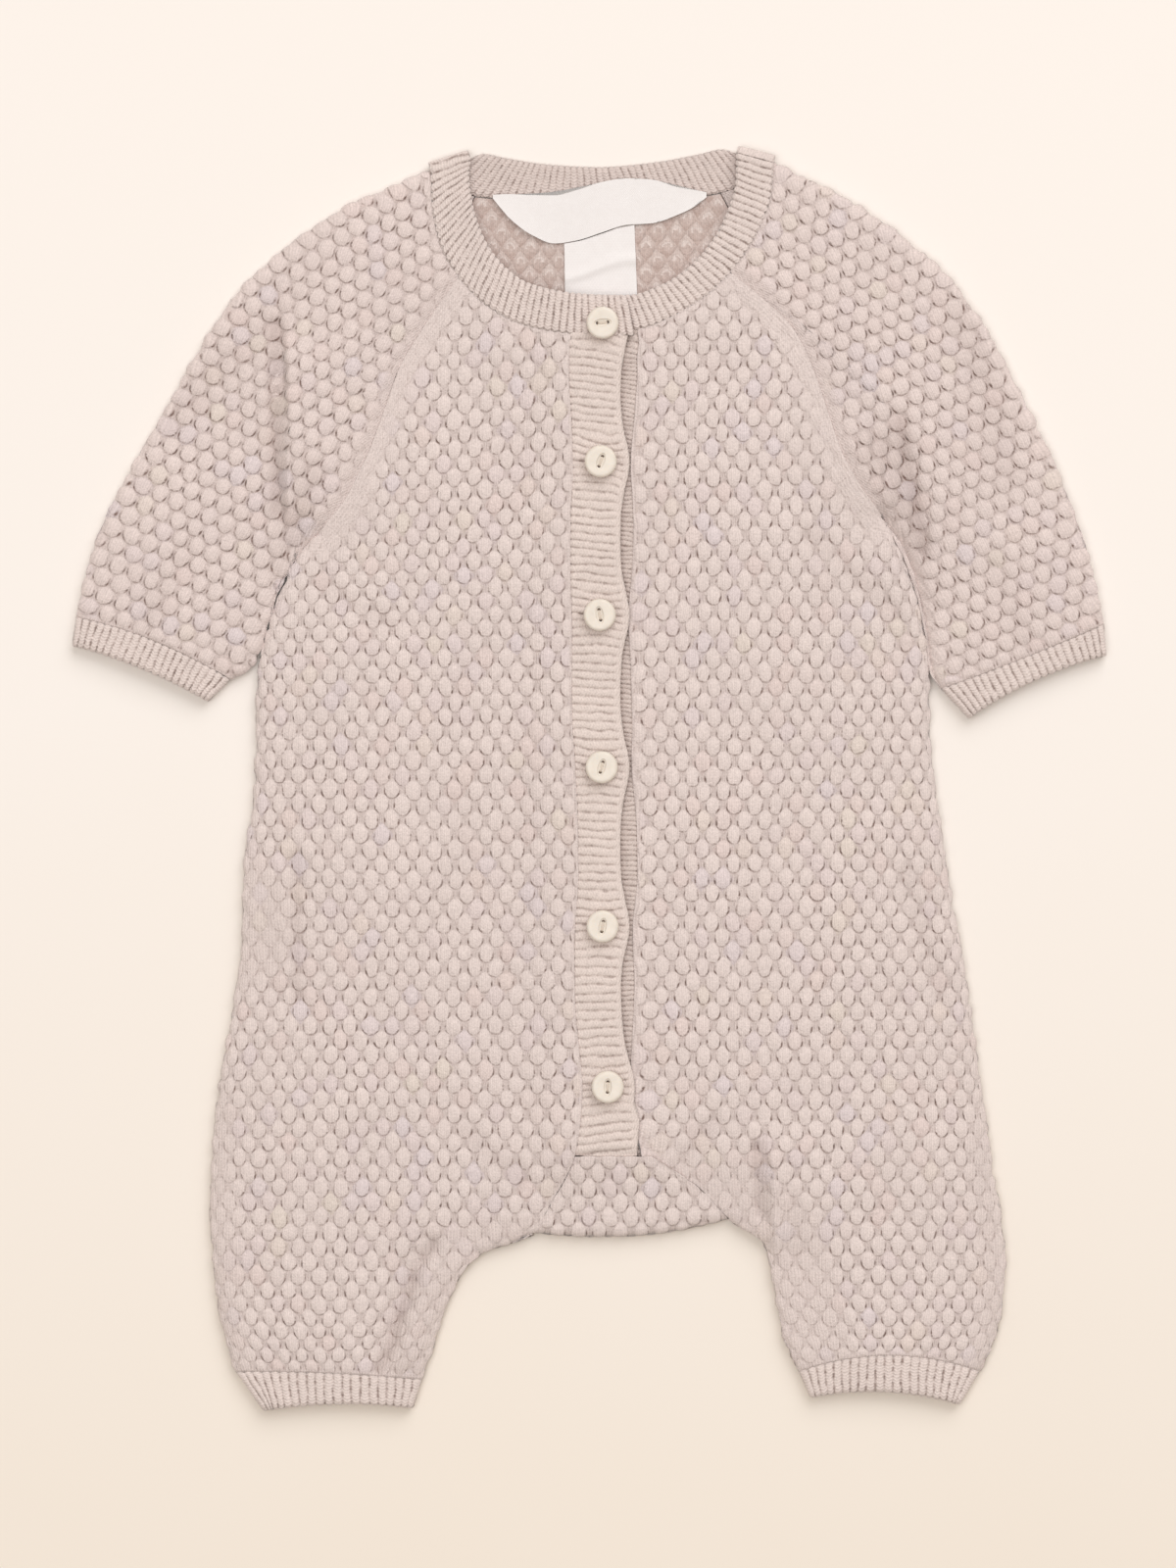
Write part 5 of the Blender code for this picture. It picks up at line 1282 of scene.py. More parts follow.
def gusset_plan(gap=1.0):
    """The gusset from above, from the crotch up to the bands' end."""
    right = RIGHT_ROWS[RIGHT_MARKS[CROTCH] : RIGHT_MARKS[PLACKET] + 1, 2:]
    left = curve(LEFT_ROWS[LEFT_MARKS[CROTCH] : LEFT_MARKS[PLACKET] + 1, 2:], len(right))
    plan = coons(crotch_line(GUSSET_COLUMNS), np.linspace(right[-1], left[-1], GUSSET_COLUMNS), right, left)
    step = units(plan[1] - plan[0])
    plan = np.concatenate([[plan[0] + step * reach for reach in EDGE_STEPS], plan[1:]])
    plan = drawn_in(plan, 0.0, *[gap * GUSSET_GAP] * 3)
    seams = no_seams(plan)
    seams[0, 0] = unit(plan[-1, 0] - plan[0, 0])
    seams[0, -1] = unit(plan[-1, -1] - plan[0, -1])
    return plan, seams


coarse, coarse_seams = gusset_plan()
plan, *at = finer(gusset_plan(CLOSED)[0], GUSSET_GRAIN, rolled=(False, False))
edges = edges_of("crotch")
outer, lining = fine_layer(upper_layer, plan, coarse, at, edges, coarse_seams, rise=gusset_rise)
to_seam = distance_to(plan, coarse[:, 0], coarse[:, -1], coarse[-1])
to_bands = distance_to(plan, coarse[-1])
outer[..., 2] += GUSSET_LIP * near(to_bands, GUSSET_LIP_REACH) - SEWN_DIP * near(to_seam)
wander_u, wander_v = uneven(plan)
fade = partly(to_seam, 0.5, *LINK_SHOW)
marks = marks_of(plan[..., 0] + wander_u, plan[..., 1] + wander_v, fade)
cloth = shell("gusset_knit", outer, lining, *at, marks)
grow(cloth, "bubble stitch", DOMES, BODY_SIZES, BODY_KNIT)
finish_cloth(cloth, "gusset", "knit", (0.061, 0.028), 0.0012, ["back"])

# ---------------------------------------------------------------- The two raglan sleeves
# Tubes of the same yarn in a rounder, fuller bubble, whose chains run down and outwards along the arm. Each
# is sewn to a front and to the back along its raglan, and its lower half lies on the surface.

SLEEVE_RINGS = 9
BACK_NECK_POINTS = 5  # on the back's share of a sleeve's neck seam
SLEEVE_GRAIN = 0.66
SLEEVE_TUCK = 0.1  # the left sleeve's outer face meets the body's side
SLEEVE_LEAN = math.radians(24.0)
SLEEVE_SIZES = {"spacing": 2.8, "row": 5.15, "wide": 2.34, "tall": 2.66, "depth": 0.74}
SLEEVE_KNIT = bubble_knit("lambswool bubble knit, sleeve", SLEEVE_SIZES, "#e3d4cf")
# Lines along which painted shade darkens the cloth below each arm, and how dark the sleeves' creases are
# painted.
ARMPIT_SHADE_LINES = listed(Crease, (93.0, 104.0, 104.0, 58.0, 1.0, 7.0), (-88.0, 96.0, -98.0, 66.0, 0.8, 5.0))
ARMPIT_SHADE = 0.45  # how much painted shade darkens the cloth where it turns in below the arm
SLEEVE_CREASE_PAINTED_SHADE = 0.7
UNDER_PAINTED_LIGHT_REACH = 4.0  # how far the painted light of the rounded side goes on below the sleeve
SLEEVE_WANDER = 0.4
ARM_BY_RAGLAN, ARM_BY_EDGE, ARM_BY_BODY = (0.25, 1.2, 5.2), (0.8, 0.0, 3.0), (0.25, 1.0, 4.0)
ARM_STRIP, ARM_STRIP_TO = 0.7, (3.0, 7.0)


def sleeve_plan(raglan_front, front_table, raglan_back, back_rows, upper, cuff, lower, gap=1.0):
    """A sleeve's two halves from above, from the cuff's seam to the loop of the armhole and neckline."""
    columns = len(raglan_back) + BACK_NECK_POINTS - 1
    neck_front = neck_seam(front_table, "raglan", "fold", columns + 1 - len(raglan_front))
    neck_back = neck_seam(NECK_BACK, *back_rows, BACK_NECK_POINTS)
    shares = edge_shares(np.linalg.norm(np.subtract(cuff.seam_b, cuff.seam_a)), columns - 2 * len(EDGE_STEPS))
    bottom = bowed(cuff.seam_a, cuff.seam_b, cuff.seam_bow, shares)
    halves, seams = [], []
    for raglan, neck in ((raglan_front, neck_front), (raglan_back, neck_back)):
        armhole = np.concatenate([raglan, neck[1:]])
        plan = coons(bottom, armhole, curve(lower, SLEEVE_RINGS), curve(upper, SLEEVE_RINGS))
        armhole_gap = np.where(np.arange(columns) >= len(raglan) - 1, CURVE_GAP, GAP / 2)
        armhole_gap[0] = GAP
        plan = drawn_in(plan, gap * CUFF_GAP, gap * armhole_gap)
        halves.append(plan)
        seams.append(row_seam(no_seams(plan), plan, 0))
        seams[-1][-1, 0] = unit(plan[-1, 1] - plan[-1, 0])
        seams[-1][-1, -1] = unit(plan[-1, -2] - plan[-1, -1])
    seams[1][-1, [0, -1]] = seams[0][-1, [0, -1]]
    halves[1][:, [0, -1]] = halves[0][:, [0, -1]]
    return halves, seams


def loop(top, bottom):
    """The two halves of a tube as one grid that runs round it."""
    return np.concatenate([top, bottom[:, -2:0:-1]], axis=1)


def tube(name, top, bottom, rows, columns, **how):
    """The shell of a tube, from the outer face, the lining and the marks of each of its halves."""
    outer, lining = loop(top[0], bottom[0]), loop(top[1], bottom[1])
    marks = {mark: [loop(*pair) for pair in zip(top[2][mark], bottom[2][mark])] for mark in top[2]}
    return shell(name, outer, lining, rows, columns, marks, ring=True, **how)


yoke, _ = sections(BACK_YOKE)
SLEEVES = (
    # side, front raglan, its neck table, back raglan, its rows in the neck's, upper edge, cuff, lower edges
    # of the lining and of the outer face, side's sign, cut in metres when it is opened out, its area
    ("right", RIGHT_ROWS[RIGHT_MARKS[UNDERARM] :, :2], NECK_FRONT_RIGHT, yoke[:, :2],
     ("right raglan", "right fold"), RIGHT_SLEEVE_UPPER, CUFFS[0], RIGHT_SLEEVE_LOWER, RIGHT_SLEEVE_LOWER,
     -1, (0.192, 0.189), 0.0189),
    ("left", LEFT_ROWS[LEFT_MARKS[UNDERARM] :, :2], NECK_FRONT_LEFT, yoke[:, 2:],
     ("left raglan", "left fold"), LEFT_SLEEVE_UPPER, CUFFS[1], left_sleeve_lower(),
     left_sleeve_lower(SLEEVE_TUCK), 1, (0.194, 0.188), 0.0184),
)
for side, *cut, lower, closed_lower, sign, flat, area in SLEEVES:
    halves, half_seams = sleeve_plan(*cut, lower)
    closed_halves, _ = sleeve_plan(*cut, closed_lower, CLOSED)
    edges = edges_of(f"{side} sleeve upper", f"{side} sleeve lower")
    front = closed_halves[0]
    down, across = stations(front[:, front.shape[1] // 2]), stations(front[len(front) // 2])
    lean = SLEEVE_LEAN * sign
    made = []
    for half, layer, raglan in ((0, upper_layer, cut[0]), (1, lower_layer, cut[2])):
        plan, row_at, column_at = finer(closed_halves[half], SLEEVE_GRAIN, down, across)
        at = row_at, column_at
        outer, lining = fine_layer(layer, plan, halves[half], at, edges, half_seams[half], join=MID_HEIGHT)
        to_raglan, to_edge = distance_to(plan, raglan), distance_to(plan, *edges)
        to_ends = distance_to(plan, plan[-1][::6], plan[0][::6])
        to_seam = np.minimum(to_raglan, to_ends)
        if half == 0:
            bent = creased(plan, CREASES)
            outer[..., 2] += (bent + lumpy(plan, *WAVE)) * blend(to_edge / EDGE_RADIUS)
            outer[..., 2] -= RAGLAN_DIP * near(to_raglan) + TO_RIB * near(to_ends, TO_RIB_REACH)
            outer[..., 2] += rough_strip(plan, to_raglan, to_seam, 64)
            # Painted shade in the creases and below the arm, and painted light on the rounded sides.
            hollow = np.clip(-bent, 0.0, 1.0) * SLEEVE_CREASE_PAINTED_SHADE + ARMPIT_SHADE * creased(plan, ARMPIT_SHADE_LINES)
            hollow = hollow - EDGE_PAINTED_LIGHT * near(to_edge, EDGE_PAINTED_LIGHT_REACH)
        else:
            hollow = -EDGE_PAINTED_LIGHT * near(to_edge, UNDER_PAINTED_LIGHT_REACH)
        shown = blend(to_seam / EDGE_RADIUS) * blend(np.linspace(0.0, 6.0, len(plan)))[:, None]
        outer[..., :2] += knobbly(plan, edges, shown)
        swell = snug(plan, EDGES["right sleeve lower"], SLEEVE_SWELL) if side == "right" else 0.0
        outer[..., 0] += swell
        x, y = plan[..., 0] + swell, plan[..., 1]
        wander_u, wander_v = uneven(plan, SLEEVE_WANDER)
        edge_side = np.linspace(-1.0, 1.0, plan.shape[1])[None, :] * -sign
        u = x * np.cos(lean) + y * np.sin(lean) + wander_u + np.sign(edge_side) * squeeze(to_edge)
        v = y * np.cos(lean) - x * np.sin(lean) + wander_v
        fade = partly(to_raglan, *ARM_BY_RAGLAN) * ease(to_seam, *SEAM_SHOW) * partly(to_edge, *ARM_BY_EDGE)
        if side == "left":
            fade *= partly(distance_to(plan, edges[1]), *ARM_BY_BODY)
        base = (FACE_LEVEL if half == 0 else 1.0) * blend(to_edge / EDGE_RADIUS)
        strip = ARM_STRIP * (1.0 - ease(to_raglan, *ARM_STRIP_TO))
        away = to_raglan + 0.8 * y + lumpy(plan, *STRIP_WANDER, 52)
        made.append((outer, lining, marks_of(u, v, fade, base, strip, away, y, hollow)))
    columns = np.concatenate([column_at, 2 * (plan.shape[1] - 1) - column_at[-2:0:-1]])
    cloth = tube(f"{side}_sleeve_knit", *made, row_at, columns)
    grow(cloth, "bubble stitch", DOMES, SLEEVE_SIZES, SLEEVE_KNIT)
    finish_cloth(cloth, f"sleeve_{side}", "knit", flat, area, ["floor"])

# ---------------------------------------------------------------- The four cuffs
# Tubes of 1x1 rib in the same yarn on finer needles, sewn to the sleeves and legs, with the ribs running
# along the arm or leg.

RIB_WALL = 1.6
RIB_PITCH = 2.2
RIB_FINE = 8  # points for each rib
CUFF_ROWS = 11
SOFT_END = 1.6  # a cuff is rounded this near its end
END_DOWN, END_UP, CUFF_SEAM_DIP = 0.7, 0.4, 0.1
CUFF_WANDER = 0.2, 3.4, 31  # ribs are never quite straight

# A rib is a rounded ridge, and its neighbours meet in a narrow valley.
RIBS = (
    "ribs DIVIDE u pitch",
    "rib_part FRACT ribs",
    "rib_off SUBTRACT rib_part 0.5",
    "rib_twice MULTIPLY rib_off 2.0",
    "rib_out ABSOLUTE rib_twice",
    "rib_bend POWER rib_out 2.6",
    "height SUBTRACT 1.0 rib_bend",
)
RIB_NOISE = {"hair": (1500.0, 3.0, 0.7), "wobble": (560.0, 2.0, 0.6), "cloud": (60.0, 2.0, 0.5)}
# The colour of the painted shade in the valleys between ribs.
RIB_VALLEY_SHADE = "#8f7971"


def rib_knit(name, crown, weight):
    """The same lambswool blend in 1x1 rib: matt, pale on the ribs, with painted shade in the narrow valleys
    between them.
    """
    made, tree, shader = new_material(name)
    u, v, fade = mark_parts(tree, "stitch")
    hollow = mark_parts(tree, "seam")[2]
    known = {**noises(tree, RIB_NOISE), "u": u, "v": v, "fade": fade, "hollow": hollow, "pitch": RIB_PITCH}
    steps = (
        "wobbled MULTIPLY_ADD wobble 0.5 rib_out",
        "valley SUBTRACT wobbled 0.93",
        "valley_wide MULTIPLY valley 3.4",
        *held("valley_top", "valley_wide", 0.0, 1.0),
        "luck MULTIPLY_ADD wobble 2.6 -0.65",
        *held("luck_held", "luck", 0.25, 1.1),
        "line MULTIPLY valley_top luck_held",
        f"course DIVIDE v {COURSE}",
        "leaning MULTIPLY_ADD rib_out 0.6 course",
        f"course_turn MULTIPLY leaning {FULL_TURN}",
        "v_shape COSINE course_turn",
        f"weighed MULTIPLY line {weight}",
        "shade_ribs MULTIPLY weighed fade",
        "shade MULTIPLY_ADD hollow 0.6 shade_ribs",
        "v_dark MULTIPLY_ADD v_shape 0.03 0.97",
        "hair_dark MULTIPLY_ADD hair 0.62 0.69",
        "cloud_dark MULTIPLY_ADD cloud 0.12 0.94",
        "both MULTIPLY v_dark hair_dark",
        "tone MULTIPLY both cloud_dark",
        "v_high MULTIPLY v_shape 0.06",
        "grooved MULTIPLY_ADD shade_ribs -0.22 v_high",
        "high MULTIPLY_ADD hair 0.2 grooved",
    )
    known = work_out(tree, (*RIBS, *steps), known)
    shaded = mixed(tree, known["shade"], linear(crown), linear(RIB_VALLEY_SHADE))
    dress(tree, shader, toned(tree, shaded, known["tone"]), {**WOOL, "Sheen Weight": 0.45}, known["high"])
    return made


RIB_SIZES = {"pitch": RIB_PITCH, "depth": 0.5}
RIB_KNIT = rib_knit("lambswool 1x1 rib", "#e3d5cf", 0.8)

CUFF_CUTS = {
    "cuff_sleeve_right": ((0.110, 0.0105), 0.00102),
    "cuff_sleeve_left": ((0.115, 0.0105), 0.00100),
    "cuff_leg_right": ((0.123, 0.0110), 0.00118),
    "cuff_leg_left": ((0.122, 0.0115), 0.00127),
}
for cuff in CUFFS:
    at = np.linspace(0.0, 1.0, RIB_FINE * cuff.ribs + 1)
    seam = bowed(cuff.seam_a, cuff.seam_b, cuff.seam_bow, at)
    hem = np.subtract(cuff.end_b, cuff.end_a)
    square = np.clip((seam - cuff.end_a) @ hem / (hem @ hem), 0.0, 1.0)
    end = bowed(cuff.end_a, cuff.end_b, cuff.end_bow, at + (square - at) * 4.0 * at * (1.0 - at))
    edges = [np.array([seam[0], end[0]]), np.array([end[-1], seam[-1]])]
    seam = seam + CLOSED * GAP / 2 * (end - seam) / np.linalg.norm(end - seam, axis=1)[:, None]
    down = np.linspace(0.0, 1.0, CUFF_ROWS)[:, None]
    plan = seam + (end - seam) * down[..., None]
    seams = np.array([row_seam(no_seams(plan), plan, row)[row] for row in range(CUFF_ROWS)])
    length = np.linalg.norm(end - seam, axis=1)[None, :]
    to_end, to_seam, to_edge = (1.0 - down) * length, down * length, distance_to(plan, *edges)
    u = at * cuff.ribs * RIB_PITCH + lumpy(plan, *CUFF_WANDER)
    fade = ease(to_seam, -0.6, 0.6)
    made = []
    pressed = partly(to_edge, FACE_LEVEL, 0.0, EDGE_RADIUS)
    for layer, base, end_step in ((upper_layer, FACE_LEVEL, -END_DOWN), (lower_layer, pressed, END_UP)):
        outer, lining = layer(plan, edges, RIB_WALL, join=MID_HEIGHT, seams=seams)
        outer[..., 2] += end_step * near(to_end, SOFT_END)
        made.append((outer, lining, marks_of(u, to_seam, fade, base, lining_face=0.5)))
    made[0][0][..., 2] -= CUFF_SEAM_DIP * near(to_seam, SOFT_END)
    rows, columns = np.array([0, CUFF_ROWS - 1]), np.arange(0, 2 * (len(at) - 1), RIB_FINE)
    ribbed = tube(f"{cuff.name}_rib", *made, rows, columns, fine=True)
    grow(ribbed, "rib stitch", RIBS, RIB_SIZES, RIB_KNIT)
    finish_cloth(ribbed, cuff.name, "rib", *CUFF_CUTS[cuff.name], ["floor"])

# ---------------------------------------------------------------- The neckband
# One strip of 1x1 rib, picked up round the neck. It folds over at each shoulder, its back half lies inside
# out on the surface, and its two ends lie over each other at the placket, the right one on top.


class Notch(namedtuple("Notch", "x y turn")):
    """One end of a buttonhole, which shows beside its button as a short slanting slit."""

    def cut(self, plan, half_width):
        """1 in the slit and 0 away from it."""
        turn = math.radians(self.turn)
        x, y = plan[..., 0] - self.x, plan[..., 1] - self.y
        along = x * math.cos(turn) + y * math.sin(turn)
        beside = y * math.cos(turn) - x * math.sin(turn)
        return np.exp(-(along ** 4) - (beside / half_width) ** 2)


NOTCHES = [Notch(BUTTONS[0].x - 6.0, BUTTONS[0].y + 0.9, -22.0)]
NOTCHES += [Notch(button.x - 5.7, button.y + 0.4, -8.0) for button in BUTTONS[1:]]
FOLD_POINTS = 3  # between one side of the neckband's fold and the other
NECK_ROWS = 13
NECK_FINE = 4  # fine steps for each half rib
FREE_DIP, NECK_DIP = 0.45, 0.12  # how far its free and sewn edges are rounded down
NECK_SOFT = 1.6  # this near them
NECK_WANDER = 0.22, 3.4, 32  # ribs are never quite straight
INSIDE_FLAT, INSIDE_PAINTED_SHADE = 0.28, 0.25  # how much flatter its ribs are where it lies inside out, and how much painted shade darkens them there


def neck_lines():
    """The band's free edge, sewn edge, lean and way outwards at each half rib, and where its front ends."""
    lines = []

    def run(table, angle):
        rows, where = rows_and_places(table)
        count = round(where[-1] / (RIB_PITCH / 2))
        for row in through(rows, where, np.linspace(0.0, where[-1], count + 1)):
            lines.append([*row, angle, 0.0, 0.0])

    def fold_over(turn, first, last):
        free_point, seam_point = np.reshape(turn[1:], (2, 2))
        across = seam_point - free_point
        direction = np.array([across[1], -across[0]]) / math.hypot(*across)
        direction *= math.copysign(1.0, direction[1])
        for angle in np.linspace(first, last, FOLD_POINTS + 2)[1:-1]:
            lines.append([*free_point, *seam_point, angle, *direction])

    run(NECK_FRONT_RIGHT, 0.0)
    right_front = len(lines)
    fold_over(NECK_BACK[0], 0.0, math.pi)
    run(NECK_BACK, math.pi)
    fold_over(NECK_BACK[-1], math.pi, 0.0)
    run(NECK_FRONT_LEFT, 0.0)
    return np.array(lines), right_front


def stepped(last, step):
    """Every so many of the numbers from 0 up, and the last one."""
    return np.append(np.arange(0, last, step), last)


lines, right_front = neck_lines()
fine_at = np.linspace(0.0, len(lines) - 1.0, NECK_FINE * (len(lines) - 1) + 1)
lines = through(lines, np.arange(len(lines), dtype=float), fine_at)
free, seam, lean, out = lines[:, :2], lines[:, 2:4], lines[:, 4], lines[:, 5:]
down = np.linspace(0.0, 1.0, NECK_ROWS)[:, None]
plan = free + (seam - free) * down[..., None]
on_top = np.arange(len(lean)) < NECK_FINE * right_front
sin, cos = np.sin(lean), np.cos(lean)
rise = np.where(on_top, placket_rise(plan), 0.0)
low, high = RIB_WALL / 2, FRONT_INNER + RIB_WALL / 2
centre = (low + high) / 2 + (high - low) / 2 * cos
bulge = (MID_HEIGHT - RIB_WALL / 2) * sin
upright = relief(plan) * np.clip(cos, 0.0, 1.0)
place = np.dstack([plan + out[None] * bulge[None, :, None], centre + upright + rise])
normal = np.column_stack([out * sin[:, None], cos])
length = np.linalg.norm(seam - free, axis=1)[None, :]
to_free, to_seam = down * length, (1.0 - down) * length
soft = FREE_DIP * near(to_free, NECK_SOFT) + NECK_DIP * near(to_seam, NECK_SOFT)
outer = place + normal[None] * (RIB_WALL / 2 - soft * (cos > -0.1))[..., None]
lining = place - normal[None] * (RIB_WALL / 2 - soft * (cos < -0.1))[..., None]
outer[..., 2] = np.maximum(outer[..., 2], 0.0)
notched = NOTCHES[0].cut(plan, 0.5) * on_top
outer[..., 2] -= 0.7 * notched
u = fine_at * RIB_PITCH / 2 + lumpy(plan, *NECK_WANDER)
turned = ease(cos, -0.1, -0.5)
fade = 1.0 - INSIDE_FLAT * turned + np.zeros_like(u)
# Painted shade in the buttonhole's slit, and on the half that lies inside the neck opening.
hollow = np.maximum(notched, INSIDE_PAINTED_SHADE * turned)
marks = marks_of(u, to_free, fade, FACE_LEVEL + (1.0 - FACE_LEVEL) * turned, hollow=hollow)
marks["cloth"] = marks["cloth"][0], np.zeros_like(marks["cloth"][1]) + (1.0, FACE_LEVEL, 0.0)
columns = stepped(len(fine_at) - 1, 2 * NECK_FINE)
band = shell("neckband_rib", outer, lining, np.array([0, NECK_ROWS - 1]), columns, marks, fine=True)
grow(band, "rib stitch", RIBS, RIB_SIZES, RIB_KNIT)
finish_cloth(band, "neckband", "rib", (0.274, 0.0126), None, ["back_knit", "right_front_knit"])

# ---------------------------------------------------------------- The two placket bands
# Strips of 1x1 rib knitted on to the fronts, ribs across. The buttonhole band lies on top and bulges at each
# button, where a slit bound with buttonhole stitch takes it. The button band lies below in its shadow.

BAND_TOP_Y, BAND_END_Y, BAND_LENGTH = 138.6, -119.4, 0.258
TOP_BAND_EDGE_X = 9.9  # free edge between two buttons
TOP_BAND_BULGE, BULGE_REACH = 2.9, 10.0  # how far the free edge goes out beside a button
TOP_BAND_DRIFT, DRIFT_Y = 2.0, (-60.0, -110.0)  # the band runs over to its free side near its lower end
BAND_CORNER, CORNER_Y = 3.3, (-102.0, -110.0)  # its lower corner reaches further still
UNDER_BAND_LEFT_X = -3.0
BAND_FINE = 8
BAND_ROW_STEP = 0.6
BAND_PITCH_TOP, BAND_PITCH_END = 2.45, 2.85  # of the ribs, at the neck and at the crotch
BAND_SLOPES = (-119.0, -60.0, 60.0, 139.0), (0.09, 0.0, -0.07, -0.14)  # heights, and how the ribs climb there
BAND_REACH = 0.55  # the outer face goes on to the neckband above and the gusset below
BAND_WANDER = (0.3, 4.0, 41), (0.16, 2.6, 42)  # ribs are never quite straight
FREE_SIDE_DIP, FREE_SIDE_SOFT = 0.6, 1.8  # how far its sides and end are rounded down, and this near them
SEWN_SIDE_DIP, SEWN_SIDE_SOFT = 0.25, 1.6
END_DIPS, END_SOFT = {"band_top": 1.1, "band_under": 0.2}, 3.0
BY_FREE_SIDE = 0.15, 0.9, 2.3  # the least height of the ribs there, and where they grow fuller
SHADE, SHADE_LUMPS = 0.22, (0.12, 2.6, 43)  # painted shade: the button band is darker, in soft lumps
SHADE_BESIDE, SHADE_REACH = 0.45, 4.5  # most of all beside the other band
UNDER_DIP, UNDER_CROWD = 0.5, 1.7  # it lies lower, and its ribs are drawn together
PRESS, PRESS_REACH, PRESS_SPREAD = 0.5, 6.5, 0.45  # the cloth is pressed down and spread round a button
PUCKER, PUCKER_AT, PUCKER_WIDE, PUCKER_TALL = 0.2, 6.6, 1.4, 1.6  # and puckers on both sides of it
# The slit's depth and half width, and how much painted shade darkens the puckers and the slit.
SLIT, SLIT_WIDE, PUCKER_PAINTED_SHADE, SLIT_PAINTED_SHADE = 0.6, 0.45, 0.25, 0.55
BAND_KNIT = rib_knit("lambswool 1x1 rib, placket", "#e3d5ce", 0.52)


def placket_line(rows, y):
    """The sewn edge of a front at height y, from its own rows."""
    return np.interp(y, rows[:, 3], rows[:, 2])


def free_edge(y):
    """The buttonhole band's free edge, which goes out a little beside each button."""
    bulge = sum(hump(y - button.y, BULGE_REACH) for button in BUTTONS)
    drift = TOP_BAND_DRIFT * ease(y, *DRIFT_Y)
    return TOP_BAND_EDGE_X + TOP_BAND_BULGE * bulge + drift + BAND_CORNER * ease(y, *CORNER_Y)


def rib_places(y):
    """Where each height falls among the ribs, which are wider apart towards the lower end."""
    pitch = BAND_PITCH_TOP + (BAND_PITCH_END - BAND_PITCH_TOP) * (y[-1] - y) / (y[-1] - y[0])
    return np.concatenate([[0.0], np.cumsum(np.diff(y) * RIB_PITCH / pitch[1:])])


def rib_band(name, node, left_x, right_x, y, top):
    """A band between two lines. Only its free side is rounded down, the right one where it lies on top."""
    wide = right_x - left_x
    across = np.linspace(0.0, 1.0, round(wide.max() / BAND_ROW_STEP) + 1)[None, :]
    plan = np.dstack([left_x[:, None] + wide[:, None] * across, y[:, None] + 0.0 * across])
    neck_y = (139.9, 139.2) if top else (139.8, 141.2)
    reach = np.interp(plan[..., 0], (-5.0, 15.2), neck_y) - BAND_TOP_Y
    at_top, at_end = near(BAND_TOP_Y - y, 7.0)[:, None], near(y - BAND_END_Y, 6.0)[:, None]
    plan[..., 1] += reach * at_top - BAND_REACH * at_end
    height = relief(plan) + (OVERLAP_RISE if top else 0.0)
    to_left, to_right = plan[..., 0] - left_x[:, None], right_x[:, None] - plan[..., 0]
    to_free, to_sewn = (to_right, to_left) if top else (to_left, to_right)
    to_end = plan[..., 1] - y[0]
    dip = FREE_SIDE_DIP * near(to_free, FREE_SIDE_SOFT) + SEWN_SIDE_DIP * near(to_sewn, SEWN_SIDE_SOFT)
    dip = dip + END_DIPS[node] * near(to_end, END_SOFT)
    slope = np.interp(plan[..., 1], *BAND_SLOPES)
    u = rib_places(y)[:, None] - slope * to_left
    for layer in BAND_WANDER:
        u = u + lumpy(plan, *layer)
    hollow = 0.0
    if not top:
        # Painted shade: the button band lies in the buttonhole band's shade, darkest beside its free edge.
        beside = near(plan[..., 0] - free_edge(y)[:, None], SHADE_REACH)
        hollow = SHADE + SHADE_BESIDE * beside + lumpy(plan, *SHADE_LUMPS)
        dip = dip + UNDER_DIP
        u = UNDER_CROWD * u
    for button, notch in zip(BUTTONS, NOTCHES) if top else ():
        aside, above = plan[..., 0] - button.x, plan[..., 1] - button.y
        close = hump(np.hypot(aside, above), PRESS_REACH)
        u = u + PRESS_SPREAD * above * close
        pucker = hump(np.abs(aside) - PUCKER_AT, PUCKER_WIDE) * hump(above, PUCKER_TALL)
        slit = notch.cut(plan, SLIT_WIDE)
        dip = dip + PRESS * close + PUCKER * pucker + SLIT * slit
        # Painted shade in the puckers and in the slit.
        hollow = hollow + PUCKER_PAINTED_SHADE * pucker + SLIT_PAINTED_SHADE * slit
    outer = np.dstack([plan, FRONT_INNER + RIB_WALL + height - dip])
    lining = np.dstack([plan, FRONT_INNER + height])
    marks = marks_of(u, plan[..., 0], partly(to_free, *BY_FREE_SIDE), hollow=hollow)
    rows = stepped(len(y) - 1, 4 * BAND_FINE)
    band = shell(name, outer, lining, rows, np.array([0, plan.shape[1] - 1]), marks)
    grow(band, "rib stitch", RIBS, RIB_SIZES, BAND_KNIT)
    flat = float(wide.max()) * MM + 0.0005, BAND_LENGTH
    finish_cloth(band, node, "rib", flat, float(wide.mean()) * MM * BAND_LENGTH, ["back"])


rib_count = 2 * round((BAND_TOP_Y - BAND_END_Y) / RIB_PITCH)
y = np.linspace(BAND_END_Y, BAND_TOP_Y, BAND_FINE // 2 * rib_count + 1)
sewn_right = placket_line(RIGHT_ROWS[RIGHT_MARKS[PLACKET] :], y) + CLOSED * GAP
sewn_left = placket_line(LEFT_ROWS[LEFT_MARKS[PLACKET] :], y) - CLOSED * GAP
rib_band("buttonhole_band_rib", "band_top", sewn_right, free_edge(y), y, True)
rib_band("button_band_rib", "band_under", np.full(len(y), UNDER_BAND_LEFT_X), sewn_left, y, False)

# ---------------------------------------------------------------- The six buttons
# Two-hole sew-through buttons, 16 line, turned from ivory cast polyester with a raised rim and a shallow
# dish, sewn on with the garment's own yarn. They rest on the buttonhole band.

